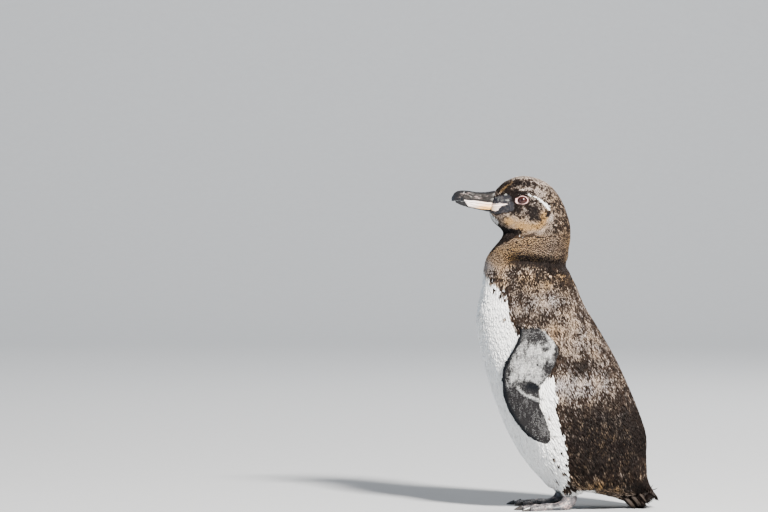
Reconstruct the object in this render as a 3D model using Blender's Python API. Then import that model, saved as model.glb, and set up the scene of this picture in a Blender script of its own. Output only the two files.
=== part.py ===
# A Galapagos penguin standing at rest, life size: a body lofted in five pieces, flippers,
# feathered shanks, webbed feet with claws, a fan of stiff tail quills, a two-part bill and eyes.
# Metres, +Z up. The bird faces -X and its left side faces -Y. The soles lie at z = 0.

import math
from collections import namedtuple

import bmesh
import bpy
import numpy as np
from mathutils import Matrix, Vector
from mathutils.bvhtree import BVHTree

MM = 0.001
GAP = 0.3 * MM                  # clearance wherever two pieces meet

# ---- body: sections that contain the Y axis, each held by its front and its back edge (mm) ----
Station = namedtuple("Station", "name front_x front_z back_x back_z half_width")
BODY_STATIONS = (
    Station("tail_tip", 103.0, -2.0, 129.5, 14.5, 25.0),
    Station("tail_root", 79.0, 11.0, 123.0, 23.0, 24.5),
    Station("coverts", 55.5, 17.0, 119.5, 28.5, 37.0),
    Station("vent", 28.0, 21.5, 117.0, 35.5, 50.0),
    Station("groin", -3.0, 24.5, 115.5, 45.5, 60.0),
    Station("hip", -20.5, 39.5, 115.0, 64.0, 65.5),
    Station("paunch", -42.0, 66.0, 114.5, 90.0, 69.5),
    Station("belly", -59.5, 97.0, 105.5, 119.0, 71.5),
    Station("midriff", -75.0, 135.0, 92.0, 152.0, 71.0),
    Station("waist", -87.0, 172.0, 73.0, 192.5, 67.5),
    Station("breast", -95.5, 210.0, 53.0, 227.0, 62.5),
    Station("shoulder", -98.0, 240.0, 35.5, 255.5, 57.0),
    Station("collar", -94.0, 262.5, 27.0, 277.5, 51.5),
    Station("neck_base", -90.0, 283.5, 18.8, 293.5, 46.0),
    Station("neck_fold", -89.0, 299.5, 14.4, 306.0, 41.0),
    Station("neck", -85.0, 313.5, 16.8, 321.0, 41.5),
    Station("upper_neck", -76.5, 325.5, 19.2, 336.0, 39.5),
    Station("nape", -68.0, 335.5, 19.4, 352.0, 36.0),
    Station("throat", -64.4, 342.0, 15.4, 367.5, 32.0),
    Station("ear", -66.4, 347.0, 8.0, 385.5, 29.5),
    Station("cheek", -72.0, 352.0, -6.2, 403.8, 26.2),
    Station("brow", -77.0, 356.5, -25.6, 413.4, 22.6),
    Station("lores", -80.4, 361.5, -48.0, 414.6, 18.2),
    Station("forehead", -82.0, 365.8, -65.0, 406.8, 13.4),
    Station("face", -82.4, 369.2, -74.2, 397.6, 9.3),
)
BODY_PIECES = (                 # name, lower station, upper station
    ("rump", "coverts", "hip"),
    ("belly", "hip", "waist"),
    ("breast", "waist", "neck_fold"),
    ("neck", "neck_fold", "throat"),
    ("head", "throat", "face"),
)
BODY_SIDES = 32
BODY_RING_STEP = 9.0 * MM
HEAD_RING_STEP = 6.5 * MM
SECTION_POWER = 0.92            # under 1 is squarer than an ellipse
BACKWARD_BULGE = 0.07           # moves the widest place of the trunk towards the back
NECK_HEIGHT, NECK_FADE = 300.0 * MM, 60.0 * MM            # the bulge dies out below this height

# ---- bill: closed, with a hooked tip (mm) ----
BillStation = namedtuple("BillStation", "top_x top_z mid_x mid_z low_x low_z half_width")
BILL_STATIONS = (
    BillStation(-74.2, 397.2, -79.8, 378.8, -82.2, 370.0, 8.2),
    BillStation(-85.8, 395.2, -89.6, 380.0, -91.8, 372.2, 7.1),
    BillStation(-97.0, 395.2, -99.8, 381.2, -101.2, 374.2, 6.1),
    BillStation(-108.2, 396.8, -109.6, 382.6, -110.4, 376.3, 5.1),
    BillStation(-118.2, 397.0, -118.8, 384.0, -118.8, 379.2, 3.9),
    BillStation(-124.4, 395.0, -124.4, 384.2, -123.9, 381.8, 2.6),
)
HOOK_STATIONS = (               # the upper half alone goes on past the lower one
    BillStation(-127.6, 391.6, -127.2, 383.2, -127.2, 383.2, 1.5),
    BillStation(-129.2, 388.0, -128.9, 383.4, -128.9, 383.4, 0.6),
)
BILL_ARC_POINTS = 11
BILL_SIDE_POWER, BILL_RISE_POWER = 0.8, 0.85              # square off the half-round section
BILL_RINGS_PER_STEP = 2

# ---- eyes ----
EYE_X, EYE_Z = -41.5 * MM, 385.4 * MM
EYE_RADIUS = 7.4 * MM
EYE_PROUD = 1.5 * MM

# ---- flippers: each section runs from the leading to the trailing edge (mm, left side) ----
WingStation = namedtuple("WingStation", "lead_x lead_z trail_x trail_z lead_y trail_y thick")
WING_STATIONS = (
    WingStation(-53.5, 248.0, -32.5, 249.0, -45.0, -47.0, 9.0),
    WingStation(-50.0, 234.5, -23.0, 234.5, -54.0, -57.0, 11.5),
    WingStation(-47.5, 219.0, -9.5, 219.0, -60.5, -64.5, 12.5),
    WingStation(-53.0, 204.0, 1.0, 205.0, -61.5, -68.5, 11.5),
    WingStation(-62.5, 189.0, 1.0, 190.5, -60.0, -72.0, 10.0),
    WingStation(-68.0, 173.0, -7.5, 173.0, -59.5, -73.0, 9.0),
    WingStation(-68.5, 158.0, -20.0, 157.5, -59.5, -70.0, 8.5),
    WingStation(-67.0, 144.0, -22.0, 144.5, -60.0, -72.0, 9.0),
    WingStation(-62.5, 129.0, -18.5, 129.0, -61.5, -73.5, 8.0),
    WingStation(-54.0, 114.0, -12.5, 114.0, -64.0, -75.0, 7.0),
    WingStation(-43.0, 100.0, -8.5, 102.0, -67.0, -76.0, 6.0),
    WingStation(-28.5, 88.5, -7.0, 92.0, -70.0, -76.0, 4.5),
    WingStation(-16.5, 84.0, -9.0, 86.5, -73.0, -75.0, 2.6),
)
WRIST = 6                       # the station where arm and blade part
WING_POINTS = 9                 # per side of a section
WING_RING_STEP = 8.0 * MM
TRAIL_EDGE = 1.5 * MM
WING_SWELL, WING_TAPER = 2.1, 0.8

# ---- shanks and feet (left side) ----
ANKLE = Vector((18.0, -33.0, 17.0)) * MM
ANKLE_RADII = (9.5 * MM, 8.5 * MM)
THIGH = Vector((24.0, -31.0, 52.0)) * MM
THIGH_RADII = (30.0 * MM, 24.0 * MM)
SHANK_SHARES = (0.0, 0.12, 0.3, 0.55, 1.0)                # of the way from ankle to thigh
SHANK_FLARE = 0.75
SHANK_SIDES = 16
TARSUS_BEND = (                 # forward, down, tilt in degrees, half depth, half width (mm)
    (0.0, 0.0, 0.0, 9.3, 8.3),
    (0.8, -4.0, 8.0, 9.2, 8.4),
    (3.0, -8.0, 30.0, 9.0, 9.0),
    (7.5, -11.6, 58.0, 7.6, 10.2),
    (15.0, -13.4, 82.0, 5.8, 11.6),
    (25.0, -14.2, 88.0, 4.2, 12.0),
)
STRIDE = 7.0 * MM               # how far the right foot stands ahead of the left one
TOE_OUT = math.radians(7.0)
TOE_ROOT_X = 6.0 * MM
TOE_SIDES = 8
TOE_RINGS = 8
TOE_END = 0.82                  # rounds the end of each toe in towards its claw
Toe = namedtuple("Toe", "name angle length root_radius tip_radius knuckles")
TOES = (
    Toe("inner", 23.0, 40.0, 5.6, 3.9, 2),
    Toe("middle", 0.0, 48.0, 6.0, 4.1, 3),
    Toe("outer", -22.0, 45.0, 5.8, 4.0, 3),
)
KNUCKLE_SWELL = 0.10
TOE_LIFT = 0.62                 # height of a toe's middle, as a share of its half height
TOE_FLATTEN = 0.12
HALLUX_LENGTH = 9.0 * MM
HALLUX_START = 1.5 * MM
HALLUX_DROP = 1.6 * MM
HALLUX_RADIUS = 2.2 * MM
HALLUX_ROOT = ANKLE + Vector((-2.0, 5.0, -10.5)) * MM
HALLUX_HEADING = Vector((-0.75, 0.66, 0.0))
HALLUX_CLAW_LENGTH, HALLUX_CLAW_RADIUS = 4.5 * MM, 1.2 * MM
WEB_THICK = 2.2 * MM
WEB_REACH = 0.95                # of each toe
WEB_HOLLOW = 0.94
WEB_HEEL = 9.0 * MM             # the web starts this far behind the root of the toes
WEB_DEPTH = 1.5 * MM            # and runs this far under the floor, to be cut
CLAW_LENGTH = 11.0 * MM
CLAW_RADIUS = 2.9 * MM
CLAW_ARCH, CLAW_DROOP = 0.10, 0.26
CLAW_POINT = 0.3 * MM
CLAW_CLEAR = 0.2 * MM           # above the floor

# ---- tail ----
TAIL_RING_STEP = 6.0 * MM
QUILL_RIDGE = 0.9 * MM          # each quill's shaft stands this far out, and each join this far in
QUILL_NOTCH = 5.5 * MM          # between the tips of neighbouring quills
TAIL_END_RINGS = ((0.82, 3.0 * MM), (0.45, 0.5 * MM))     # share of the section, set back by

FEATHER_DARK = (0.075, 0.056, 0.042, 1.0)


def clear_scene():
    for old in list(bpy.data.objects):
        bpy.data.objects.remove(old, do_unlink=True)


def new_collection(name, hidden=False):
    made = bpy.data.collections.new(name)
    bpy.context.scene.collection.children.link(made)
    made.hide_render = hidden
    return made


def new_material(name, colour, roughness):
    material = bpy.data.materials.new(name)
    material.use_nodes = True
    shader = material.node_tree.nodes["Principled BSDF"]
    shader.inputs["Base Color"].default_value = colour
    shader.inputs["Roughness"].default_value = roughness
    return material


def mesh_of(name, points, faces):
    """A closed mesh with its faces turned outwards and shaded smooth."""
    mesh = bpy.data.meshes.new(name)
    mesh.from_pydata([tuple(point) for point in points], [], faces)
    work = bmesh.new()
    work.from_mesh(mesh)
    bmesh.ops.recalc_face_normals(work, faces=work.faces)
    work.to_mesh(mesh)
    work.free()
    mesh.polygons.foreach_set("use_smooth", [True] * len(mesh.polygons))
    return mesh


def add_node(name, mesh, material):
    node = bpy.data.objects.new(name, mesh)
    mesh.materials.append(material)
    bird.objects.link(node)
    return node


def add_helper(name, mesh):
    helper = bpy.data.objects.new(name, mesh)
    helpers.objects.link(helper)
    helper.hide_render = True
    helper.display_type = "WIRE"
    return helper


def boolean(node, helper, operation):
    modifier = node.modifiers.new(helper.name, "BOOLEAN")
    modifier.operation = operation
    modifier.solver = "EXACT"
    modifier.object = helper


def lofted(name, rings):
    """Joins rings of equal length in order and closes both ends with a flat cap."""
    count = len(rings[0])
    points = [point for ring in rings for point in ring]
    faces = []
    for row in range(len(rings) - 1):
        low, high = row * count, (row + 1) * count
        for k in range(count):
            after = (k + 1) % count
            faces.append((low + k, low + after, high + after, high + k))
    faces.append(tuple(range(count)))
    faces.append(tuple(range(len(points) - count, len(points))))
    return mesh_of(name, points, faces)


def mirrored(name, mesh, shift_x=0.0):
    """The same mesh for the right side."""
    points = [(v.co.x + shift_x, -v.co.y, v.co.z) for v in mesh.vertices]
    return mesh_of(name, points, [tuple(face.vertices) for face in mesh.polygons])


class Track:
    """A smooth curve through rows of numbers, measured along the middle of the stations."""

    def __init__(self, rows, middles):
        self.rows = np.array(rows, float)
        steps = np.linalg.norm(np.diff(np.array(middles, float), axis=0), axis=1)
        self.knots = np.concatenate(([0.0], np.cumsum(steps)))
        self.slopes = np.gradient(self.rows, self.knots, axis=0)

    def at(self, place):
        last = len(self.knots) - 2
        k = int(np.clip(np.searchsorted(self.knots, place, side="right") - 1, 0, last))
        span = self.knots[k + 1] - self.knots[k]
        f = (place - self.knots[k]) / span
        start, end = self.rows[k], self.rows[k + 1]
        push, pull = self.slopes[k] * span, self.slopes[k + 1] * span
        return (
            start * (2 * f**3 - 3 * f**2 + 1)
            + push * (f**3 - 2 * f**2 + f)
            + end * (3 * f**2 - 2 * f**3)
            + pull * (f**3 - f**2)
        )

    def places(self, first, last, step):
        """Even places between two knots, with both ends."""
        start, end = self.knots[first], self.knots[last]
        return np.linspace(start, end, max(2, round((end - start) / step)) + 1)


def body_track():
    rows = [[value * MM for value in station[1:]] for station in BODY_STATIONS]
    middles = [((r[0] + r[2]) / 2, (r[1] + r[3]) / 2) for r in rows]
    return Track(rows, middles)


def station_index(name):
    return [station.name for station in BODY_STATIONS].index(name)


def rounded(value, power):
    return math.copysign(abs(value) ** power, value)


def body_ring(track, place, grow=0.0, slide=0.0):
    """One section of the body; slide moves it along the spine, grow swells it."""
    front_x, front_z, back_x, back_z, half_width = track.at(place)
    front, back = Vector((front_x, 0.0, front_z)), Vector((back_x, 0.0, back_z))
    middle = (front + back) / 2
    across = (back - front).normalized()
    along = Vector((-across.z, 0.0, across.x))
    half_depth = (back - front).length / 2 + grow
    half_width += grow
    trunk_share = min(1.0, max(0.0, (NECK_HEIGHT - middle.z) / NECK_FADE))
    ring = []
    for k in range(BODY_SIDES):
        turn = 2 * math.pi * k / BODY_SIDES
        depth = -half_depth * rounded(math.cos(turn), SECTION_POWER)
        depth += BACKWARD_BULGE * trunk_share * half_depth * math.sin(turn) ** 2
        width = half_width * rounded(math.sin(turn), SECTION_POWER)
        ring.append(middle + across * depth + along * slide + Vector((0.0, width, 0.0)))
    return ring


def piece_places(track, number):
    name, low, high = BODY_PIECES[number]
    step = HEAD_RING_STEP if name in ("neck", "head") else BODY_RING_STEP
    return list(track.places(station_index(low), station_index(high), step))


def build_body(track, feathers):
    """Five pieces that share their cutting planes, half a gap to each side."""
    last_piece = len(BODY_PIECES) - 1
    for number, (name, _, _) in enumerate(BODY_PIECES):
        places = piece_places(track, number)
        rings = [body_ring(track, place) for place in places]
        rings[0] = body_ring(track, places[0], slide=GAP / 2)
        if number != last_piece:
            rings[-1] = body_ring(track, places[-1], slide=-GAP / 2)
        add_node(name, lofted(name, rings), feathers)


def body_cutter(track):
    """The trunk swelled by the gap, with its rings at the same places as the trunk's own."""
    places = piece_places(track, 0) + piece_places(track, 1)[1:] + piece_places(track, 2)[1:]
    rings = [body_ring(track, place, grow=GAP) for place in places]
    return add_helper("cut_body", lofted("cut_body", rings))


def bill_ring(row, upper):
    """A half-round section whose flat side lies on the line where the bill closes."""
    middle = Vector((row[2], 0.0, row[3]))
    outer = Vector((row[0], 0.0, row[1])) if upper else Vector((row[4], 0.0, row[5]))
    rise = outer - middle
    start = middle + rise.normalized() * GAP / 2
    ring = []
    for k in range(BILL_ARC_POINTS):
        turn = math.pi * k / (BILL_ARC_POINTS - 1)
        side = row[6] * rounded(math.cos(turn), BILL_SIDE_POWER)
        height = (outer - start) * math.sin(turn) ** BILL_RISE_POWER
        ring.append(start + height + Vector((0.0, side, 0.0)))
    return ring


def build_bill(horn):
    forward = Vector((-1.0, 0.0, 0.0)) * GAP
    for name, upper in (("bill_upper", True), ("bill_lower", False)):
        stations = BILL_STATIONS + HOOK_STATIONS if upper else BILL_STATIONS
        rows = [[value * MM for value in station] for station in stations]
        track = Track(rows, [(row[2], row[3]) for row in rows])
        count = BILL_RINGS_PER_STEP * (len(rows) - 1)
        places = np.linspace(0.0, track.knots[-1], count + 1)
        rings = [[point + forward for point in bill_ring(track.at(place), upper)] for place in places]
        add_node(name, lofted(name, rings), horn)


def build_eyes(eye_material):
    """Whole balls, each seated in a socket of the head and a little proud of the lids."""
    head = bird.objects["head"]
    tree = BVHTree.FromPolygons(
        [v.co.copy() for v in head.data.vertices], [tuple(f.vertices) for f in head.data.polygons]
    )
    for side, sign in (("left", -1.0), ("right", 1.0)):
        origin = Vector((EYE_X, sign * 0.1, EYE_Z))
        spot, normal, _, _ = tree.ray_cast(origin, Vector((0.0, -sign, 0.0)))
        centre = spot - normal * (EYE_RADIUS - EYE_PROUD)
        add_node(f"eye_{side}", ball(f"eye_{side}", centre, EYE_RADIUS), eye_material)
        socket = add_helper(f"socket_{side}", ball(f"socket_{side}", centre, EYE_RADIUS + GAP))
        boolean(head, socket, "DIFFERENCE")


def ball(name, centre, radius):
    work = bmesh.new()
    bmesh.ops.create_uvsphere(work, u_segments=14, v_segments=8, radius=radius)
    turn = Matrix.Rotation(math.pi / 2, 4, "X")
    bmesh.ops.transform(work, matrix=Matrix.Translation(centre) @ turn, verts=work.verts)
    points = [v.co.copy() for v in work.verts]
    faces = [tuple(v.index for v in face.verts) for face in work.faces]
    work.free()
    return mesh_of(name, points, faces)


def wing_ring(row, slide=0.0):
    """An aerofoil section, blunt in front and thin behind."""
    lead = Vector((row[0], row[4], row[1]))
    trail = Vector((row[2], row[5], row[3]))
    chord = trail - lead
    span = Vector((0.0, 0.0, -1.0))
    outward = span.cross(chord).normalized()
    ring = []
    for side in (1.0, -1.0):
        for k in range(WING_POINTS):
            turn = math.pi * k / WING_POINTS
            along = (1 - math.cos(turn)) / 2
            if side < 0:
                along = 1 - along
            bulge = WING_SWELL * math.sqrt(along) * (1 - along) ** WING_TAPER
            half = (row[6] - TRAIL_EDGE) / 2 * bulge + TRAIL_EDGE / 2 * math.sqrt(along)
            if k == 0 and side > 0:
                half = 0.0
            ring.append(lead + chord * along + outward * side * half + span * slide)
    return ring


def build_flippers(feathers, cutter):
    rows = [[value * MM for value in station] for station in WING_STATIONS]
    middles = [((r[0] + r[2]) / 2, (r[1] + r[3]) / 2) for r in rows]
    track = Track(rows, middles)
    for part, first, last in (("arm", 0, WRIST), ("blade", WRIST, len(rows) - 1)):
        places = track.places(first, last, WING_RING_STEP)
        rings = [wing_ring(track.at(place)) for place in places]
        if part == "arm":
            rings[-1] = wing_ring(track.at(places[-1]), slide=-GAP / 2)
        else:
            rings[0] = wing_ring(track.at(places[0]), slide=GAP / 2)
        left = lofted(f"flipper_{part}_left", rings)
        right = mirrored(f"flipper_{part}_right", left)
        for mesh in (left, right):
            node = add_node(mesh.name, mesh, feathers)
            if part == "arm":
                boolean(node, cutter, "DIFFERENCE")


def flat_ring(centre, radius_x, radius_y, sides):
    ring = []
    for k in range(sides):
        turn = 2 * math.pi * k / sides
        ring.append(centre + Vector((radius_x * math.cos(turn), radius_y * math.sin(turn), 0.0)))
    return ring


def build_shanks(feathers, cutter):
    """The feathered part of the leg, from inside the belly line down to the ankle."""
    foot_top = ANKLE + Vector((0.0, 0.0, GAP / 2))
    rings = []
    for share in SHANK_SHARES:
        flare = share**SHANK_FLARE
        radius_x = ANKLE_RADII[0] + (THIGH_RADII[0] - ANKLE_RADII[0]) * flare
        radius_y = ANKLE_RADII[1] + (THIGH_RADII[1] - ANKLE_RADII[1]) * flare
        rings.append(flat_ring(foot_top.lerp(THIGH, share), radius_x, radius_y, SHANK_SIDES))
    left = lofted("shank_left", rings)
    right = mirrored("shank_right", left, -STRIDE)
    for mesh in (left, right):
        boolean(add_node(mesh.name, mesh, feathers), cutter, "DIFFERENCE")


def tarsus_rings():
    """The bare ankle, bent forward into the ball of the foot."""
    ankle = ANKLE - Vector((0.0, 0.0, GAP / 2))
    rings = []
    for forward, down, tilt, depth, width in TARSUS_BEND:
        centre = ankle + Vector((-forward, 0.0, down)) * MM
        angle = math.radians(tilt)
        ring = []
        for k in range(SHANK_SIDES):
            turn = 2 * math.pi * k / SHANK_SIDES
            off = depth * MM * math.cos(turn)
            side = width * MM * math.sin(turn)
            ring.append(centre + Vector((off * math.cos(angle), side, -off * math.sin(angle))))
        rings.append(ring)
    return rings


def toe_ring(centre, heading, half_width, half_height):
    across = Vector((-heading.y, heading.x, 0.0))
    ring = []
    for k in range(TOE_SIDES):
        turn = 2 * math.pi * k / TOE_SIDES
        lift = Vector((0.0, 0.0, half_height * math.sin(turn)))
        ring.append(centre + across * half_width * math.cos(turn) + lift)
    return ring


def toe_heading(toe):
    angle = math.radians(toe.angle)
    return Vector((-math.cos(angle), math.sin(angle), 0.0))


def toe_root():
    return Vector((TOE_ROOT_X, ANKLE.y, 0.0))


def toe_mesh(toe):
    """A tapering toe with a swelling at each knuckle; its underside runs below the floor, to be cut."""
    heading, root = toe_heading(toe), toe_root()
    reach = toe.length * MM
    rings = []
    for k in range(TOE_RINGS + 1):
        share = k / TOE_RINGS
        radius = toe.root_radius + (toe.tip_radius - toe.root_radius) * share
        swell = 1 + KNUCKLE_SWELL * math.cos(2 * math.pi * toe.knuckles * share)
        if k == TOE_RINGS:
            swell *= TOE_END
        centre = root + heading * reach * share
        half_height = radius * MM * swell * (1.0 - TOE_FLATTEN * share)
        centre.z = half_height * TOE_LIFT
        rings.append(toe_ring(centre, heading, radius * MM * swell, half_height))
    return lofted(f"toe_{toe.name}", rings)


def web_mesh():
    """A thin sheet between the toes with a hollow front edge, as a slab that also goes under the floor."""
    root = toe_root()
    edge = [root + Vector((WEB_HEEL, 0.0, 0.0))]
    for number, toe in enumerate(TOES):
        tip = root + toe_heading(toe) * toe.length * MM * WEB_REACH
        if number:
            before = TOES[number - 1]
            other = root + toe_heading(before) * before.length * MM * WEB_REACH
            middle = root + ((tip + other) / 2 - root) * WEB_HOLLOW
            edge += [other.lerp(middle, 0.55), middle, tip.lerp(middle, 0.55)]
        edge.append(tip)
    bottom = [Vector((p.x, p.y, -WEB_DEPTH)) for p in edge]
    top = [Vector((p.x, p.y, WEB_THICK)) for p in edge]
    count = len(edge)
    faces = [tuple(range(count)), tuple(range(count, 2 * count))]
    faces += [(k, (k + 1) % count, count + (k + 1) % count, count + k) for k in range(count)]
    return mesh_of("web", bottom + top, faces)


def hallux_mesh():
    """The short inner toe beside the ankle."""
    rings = []
    for share in (0.0, 0.35, 0.7, 1.0):
        radius = HALLUX_RADIUS * (1.15 - 0.35 * share)
        centre = HALLUX_ROOT + HALLUX_HEADING * (HALLUX_LENGTH * share + HALLUX_START)
        centre.z -= HALLUX_DROP * share
        rings.append(toe_ring(centre, HALLUX_HEADING, radius, radius))
    return lofted("hallux", rings)


def claw_mesh(name, base, heading, length, radius):
    """A curved cone whose point comes down close to the floor."""
    rings = []
    for share in (0.0, 0.35, 0.7, 1.0):
        size = radius * (1 - share) ** 0.7 + CLAW_POINT
        centre = base + heading * length * share
        centre.z += length * (CLAW_ARCH * share - CLAW_DROOP * share**2)
        centre.z = max(centre.z, size + CLAW_CLEAR)
        rings.append(toe_ring(centre, heading, size * 0.85, size))
    return lofted(name, rings)


def turned_out(mesh):
    """Turns a left foot's mesh outwards about its ankle."""
    spin = Matrix.Rotation(TOE_OUT, 4, "Z")
    place = Matrix.Translation(Vector((ANKLE.x, ANKLE.y, 0.0)))
    mesh.transform(place @ spin @ place.inverted())
    return mesh


def foot_pieces():
    toes = [toe_mesh(toe) for toe in TOES]
    return [lofted("tarsus", tarsus_rings())] + toes + [web_mesh(), hallux_mesh()]


def claw_pieces():
    pieces = []
    for toe in TOES:
        heading = toe_heading(toe)
        base = toe_root() + heading * (toe.length * MM + GAP)
        base.z = toe.tip_radius * MM * TOE_LIFT
        pieces.append((toe.name, claw_mesh(toe.name, base, heading, CLAW_LENGTH, CLAW_RADIUS)))
    base = HALLUX_ROOT + HALLUX_HEADING * (HALLUX_LENGTH + HALLUX_START + GAP)
    base.z -= HALLUX_DROP
    size = (HALLUX_CLAW_LENGTH, HALLUX_CLAW_RADIUS)
    pieces.append(("hallux", claw_mesh("hallux", base, HALLUX_HEADING, *size)))
    return pieces


def floor_cutter():
    work = bmesh.new()
    bmesh.ops.create_cube(work, size=0.5)
    bmesh.ops.transform(work, matrix=Matrix.Translation((0.0, 0.0, -0.25)), verts=work.verts)
    mesh = bpy.data.meshes.new("cut_floor")
    work.to_mesh(mesh)
    work.free()
    return add_helper("cut_floor", mesh)


def build_feet(bare_skin, claw_horn, floor):
    pieces = [turned_out(mesh) for mesh in foot_pieces()]
    claws = [(name, turned_out(mesh)) for name, mesh in claw_pieces()]
    for side in ("left", "right"):
        if side == "right":
            pieces = [mirrored(mesh.name, mesh, -STRIDE) for mesh in pieces]
            claws = [(name, mirrored(name, mesh, -STRIDE)) for name, mesh in claws]
        foot = add_node(f"foot_{side}", pieces[0], bare_skin)
        for mesh in pieces[1:]:
            boolean(foot, add_helper(f"{mesh.name}_{side}", mesh), "UNION")
        boolean(foot, floor, "DIFFERENCE")
        for name, mesh in claws:
            add_node(f"claw_{name}_{side}", mesh, claw_horn)


def tail_mesh(track):
    """A sheaf of stiff quills side by side around a blunt end, spread where it meets the floor."""
    places = track.places(0, station_index("coverts"), TAIL_RING_STEP)[::-1]
    rings = [body_ring(track, places[0], slide=-GAP / 2)]
    for number, place in enumerate(places[1:], 1):
        share = number / (len(places) - 1)
        ring = body_ring(track, place)
        notched = body_ring(track, place, slide=QUILL_NOTCH * share**4)
        middle = sum(ring, Vector()) / len(ring)
        for k, point in enumerate(ring):
            outward = (point - middle).normalized() * QUILL_RIDGE * share
            ring[k] = notched[k] - outward if k % 2 else point + outward
        rings.append(ring)
    for share, back in TAIL_END_RINGS:
        end = body_ring(track, 0.0, slide=back)
        middle = sum(end, Vector()) / len(end)
        rings.append([middle.lerp(point, share) for point in end])
    return lofted("tail", rings)


def build_tail(track, feathers, floor):
    boolean(add_node("tail", tail_mesh(track), feathers), floor, "DIFFERENCE")


def centre_on_floor():
    """Puts the middle of the bird's box over the origin."""
    bpy.context.view_layer.update()
    graph = bpy.context.evaluated_depsgraph_get()
    corners = []
    for node in bird.objects:
        mesh = node.evaluated_get(graph).to_mesh()
        corners += [v.co.copy() for v in mesh.vertices]
    low = [min(c[axis] for c in corners) for axis in range(3)]
    high = [max(c[axis] for c in corners) for axis in range(3)]
    shift = Matrix.Translation((-(low[0] + high[0]) / 2, -(low[1] + high[1]) / 2, -low[2]))
    for thing in list(bird.objects) + list(helpers.objects):
        thing.data.transform(shift)


clear_scene()
bird = new_collection("penguin")
helpers = new_collection("helpers", hidden=True)
back_feathers = new_material("feathers", FEATHER_DARK, 0.85)
flipper_feathers = new_material("flipper_feathers", (0.11, 0.105, 0.10, 1.0), 0.8)
bill_horn = new_material("bill_horn", (0.06, 0.055, 0.055, 1.0), 0.4)
eye_gloss = new_material("eye_gloss", (0.10, 0.03, 0.02, 1.0), 0.08)
foot_skin = new_material("foot_skin", (0.14, 0.13, 0.13, 1.0), 0.6)
claw_horn = new_material("claw_horn", (0.02, 0.018, 0.017, 1.0), 0.35)
tail_quills = new_material("tail_quills", (0.05, 0.038, 0.03, 1.0), 0.7)

spine = body_track()
around_body = body_cutter(spine)
floor_block = floor_cutter()
build_body(spine, back_feathers)
build_bill(bill_horn)
build_eyes(eye_gloss)
build_flippers(flipper_feathers, around_body)
build_shanks(back_feathers, around_body)
build_feet(foot_skin, claw_horn, floor_block)
build_tail(spine, tail_quills, floor_block)
centre_on_floor()
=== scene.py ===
import math

import bmesh
import bpy
import numpy as np
from mathutils import Matrix, Vector, noise
from mathutils.bvhtree import BVHTree
from mathutils.kdtree import KDTree


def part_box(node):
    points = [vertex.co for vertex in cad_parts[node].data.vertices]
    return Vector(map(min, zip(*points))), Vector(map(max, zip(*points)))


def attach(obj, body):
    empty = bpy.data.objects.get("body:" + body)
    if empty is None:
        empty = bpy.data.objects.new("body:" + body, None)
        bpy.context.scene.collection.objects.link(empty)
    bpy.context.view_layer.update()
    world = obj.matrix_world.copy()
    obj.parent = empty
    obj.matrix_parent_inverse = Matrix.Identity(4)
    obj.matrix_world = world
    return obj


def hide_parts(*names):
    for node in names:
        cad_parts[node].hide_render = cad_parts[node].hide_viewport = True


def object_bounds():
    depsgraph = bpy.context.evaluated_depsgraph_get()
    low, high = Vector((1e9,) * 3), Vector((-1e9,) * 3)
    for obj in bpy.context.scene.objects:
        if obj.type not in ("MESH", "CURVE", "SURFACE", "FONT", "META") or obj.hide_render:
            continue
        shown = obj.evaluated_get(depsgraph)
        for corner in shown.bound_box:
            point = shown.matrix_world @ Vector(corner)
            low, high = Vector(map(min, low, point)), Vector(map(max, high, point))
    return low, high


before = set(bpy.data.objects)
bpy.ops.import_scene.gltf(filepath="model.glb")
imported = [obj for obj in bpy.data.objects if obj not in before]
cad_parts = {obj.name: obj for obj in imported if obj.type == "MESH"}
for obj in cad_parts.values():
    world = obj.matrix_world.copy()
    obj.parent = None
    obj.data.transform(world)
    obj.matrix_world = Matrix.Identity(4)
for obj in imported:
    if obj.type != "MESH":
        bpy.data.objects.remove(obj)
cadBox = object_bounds()
mm = 0.001
sides = {"left": -1.0, "right": 1.0}     # the bird faces -X, so its left side is at -Y


# meshes as arrays of numbers

def columnsOf(items, field, wide, kind=np.float32):
    flat = np.empty(len(items) * wide, kind)
    items.foreach_get(field, flat)
    return flat.reshape(-1, wide) if wide > 1 else flat


def coordsOf(mesh):
    return columnsOf(mesh.vertices, "co", 3).astype(float)


def setCoords(mesh, points):
    mesh.vertices.foreach_set("co", points.astype(np.float32).ravel())
    mesh.update()


def normalsOf(mesh):
    return columnsOf(mesh.vertex_normals, "vector", 3).astype(float)


def edgesOf(mesh):
    return columnsOf(mesh.edges, "vertices", 2, np.int32)


def smoothed(values, edges, rounds, amount=0.5):
    # each value moves towards the mean of its neighbours
    values = np.array(values, float)
    flat = values.reshape(len(values), -1)
    ends = np.concatenate([edges, edges[:, ::-1]])
    count = np.maximum(np.bincount(ends[:, 0], minlength=len(values)), 1)
    share = amount if np.isscalar(amount) else np.asarray(amount)[:, None]
    for _ in range(rounds):
        means = [np.bincount(ends[:, 0], column[ends[:, 1]], len(flat)) / count for column in flat.T]
        flat = flat + (np.stack(means, axis=1) - flat) * share
    return flat.reshape(values.shape)


def unit(vectors):
    return vectors / np.maximum(np.linalg.norm(vectors, axis=-1, keepdims=True), 1e-9)


def ramp(value, low, high):
    share = np.clip((value - low) / (high - low), 0.0, 1.0)
    return share * share * (3 - 2 * share)


def hill(x, z, centre, reach):
    # a soft bump of height 1 in the side view, all in mm
    return np.exp(-(((x - centre[0]) / reach[0]) ** 2 + ((z - centre[1]) / reach[1]) ** 2))


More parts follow.
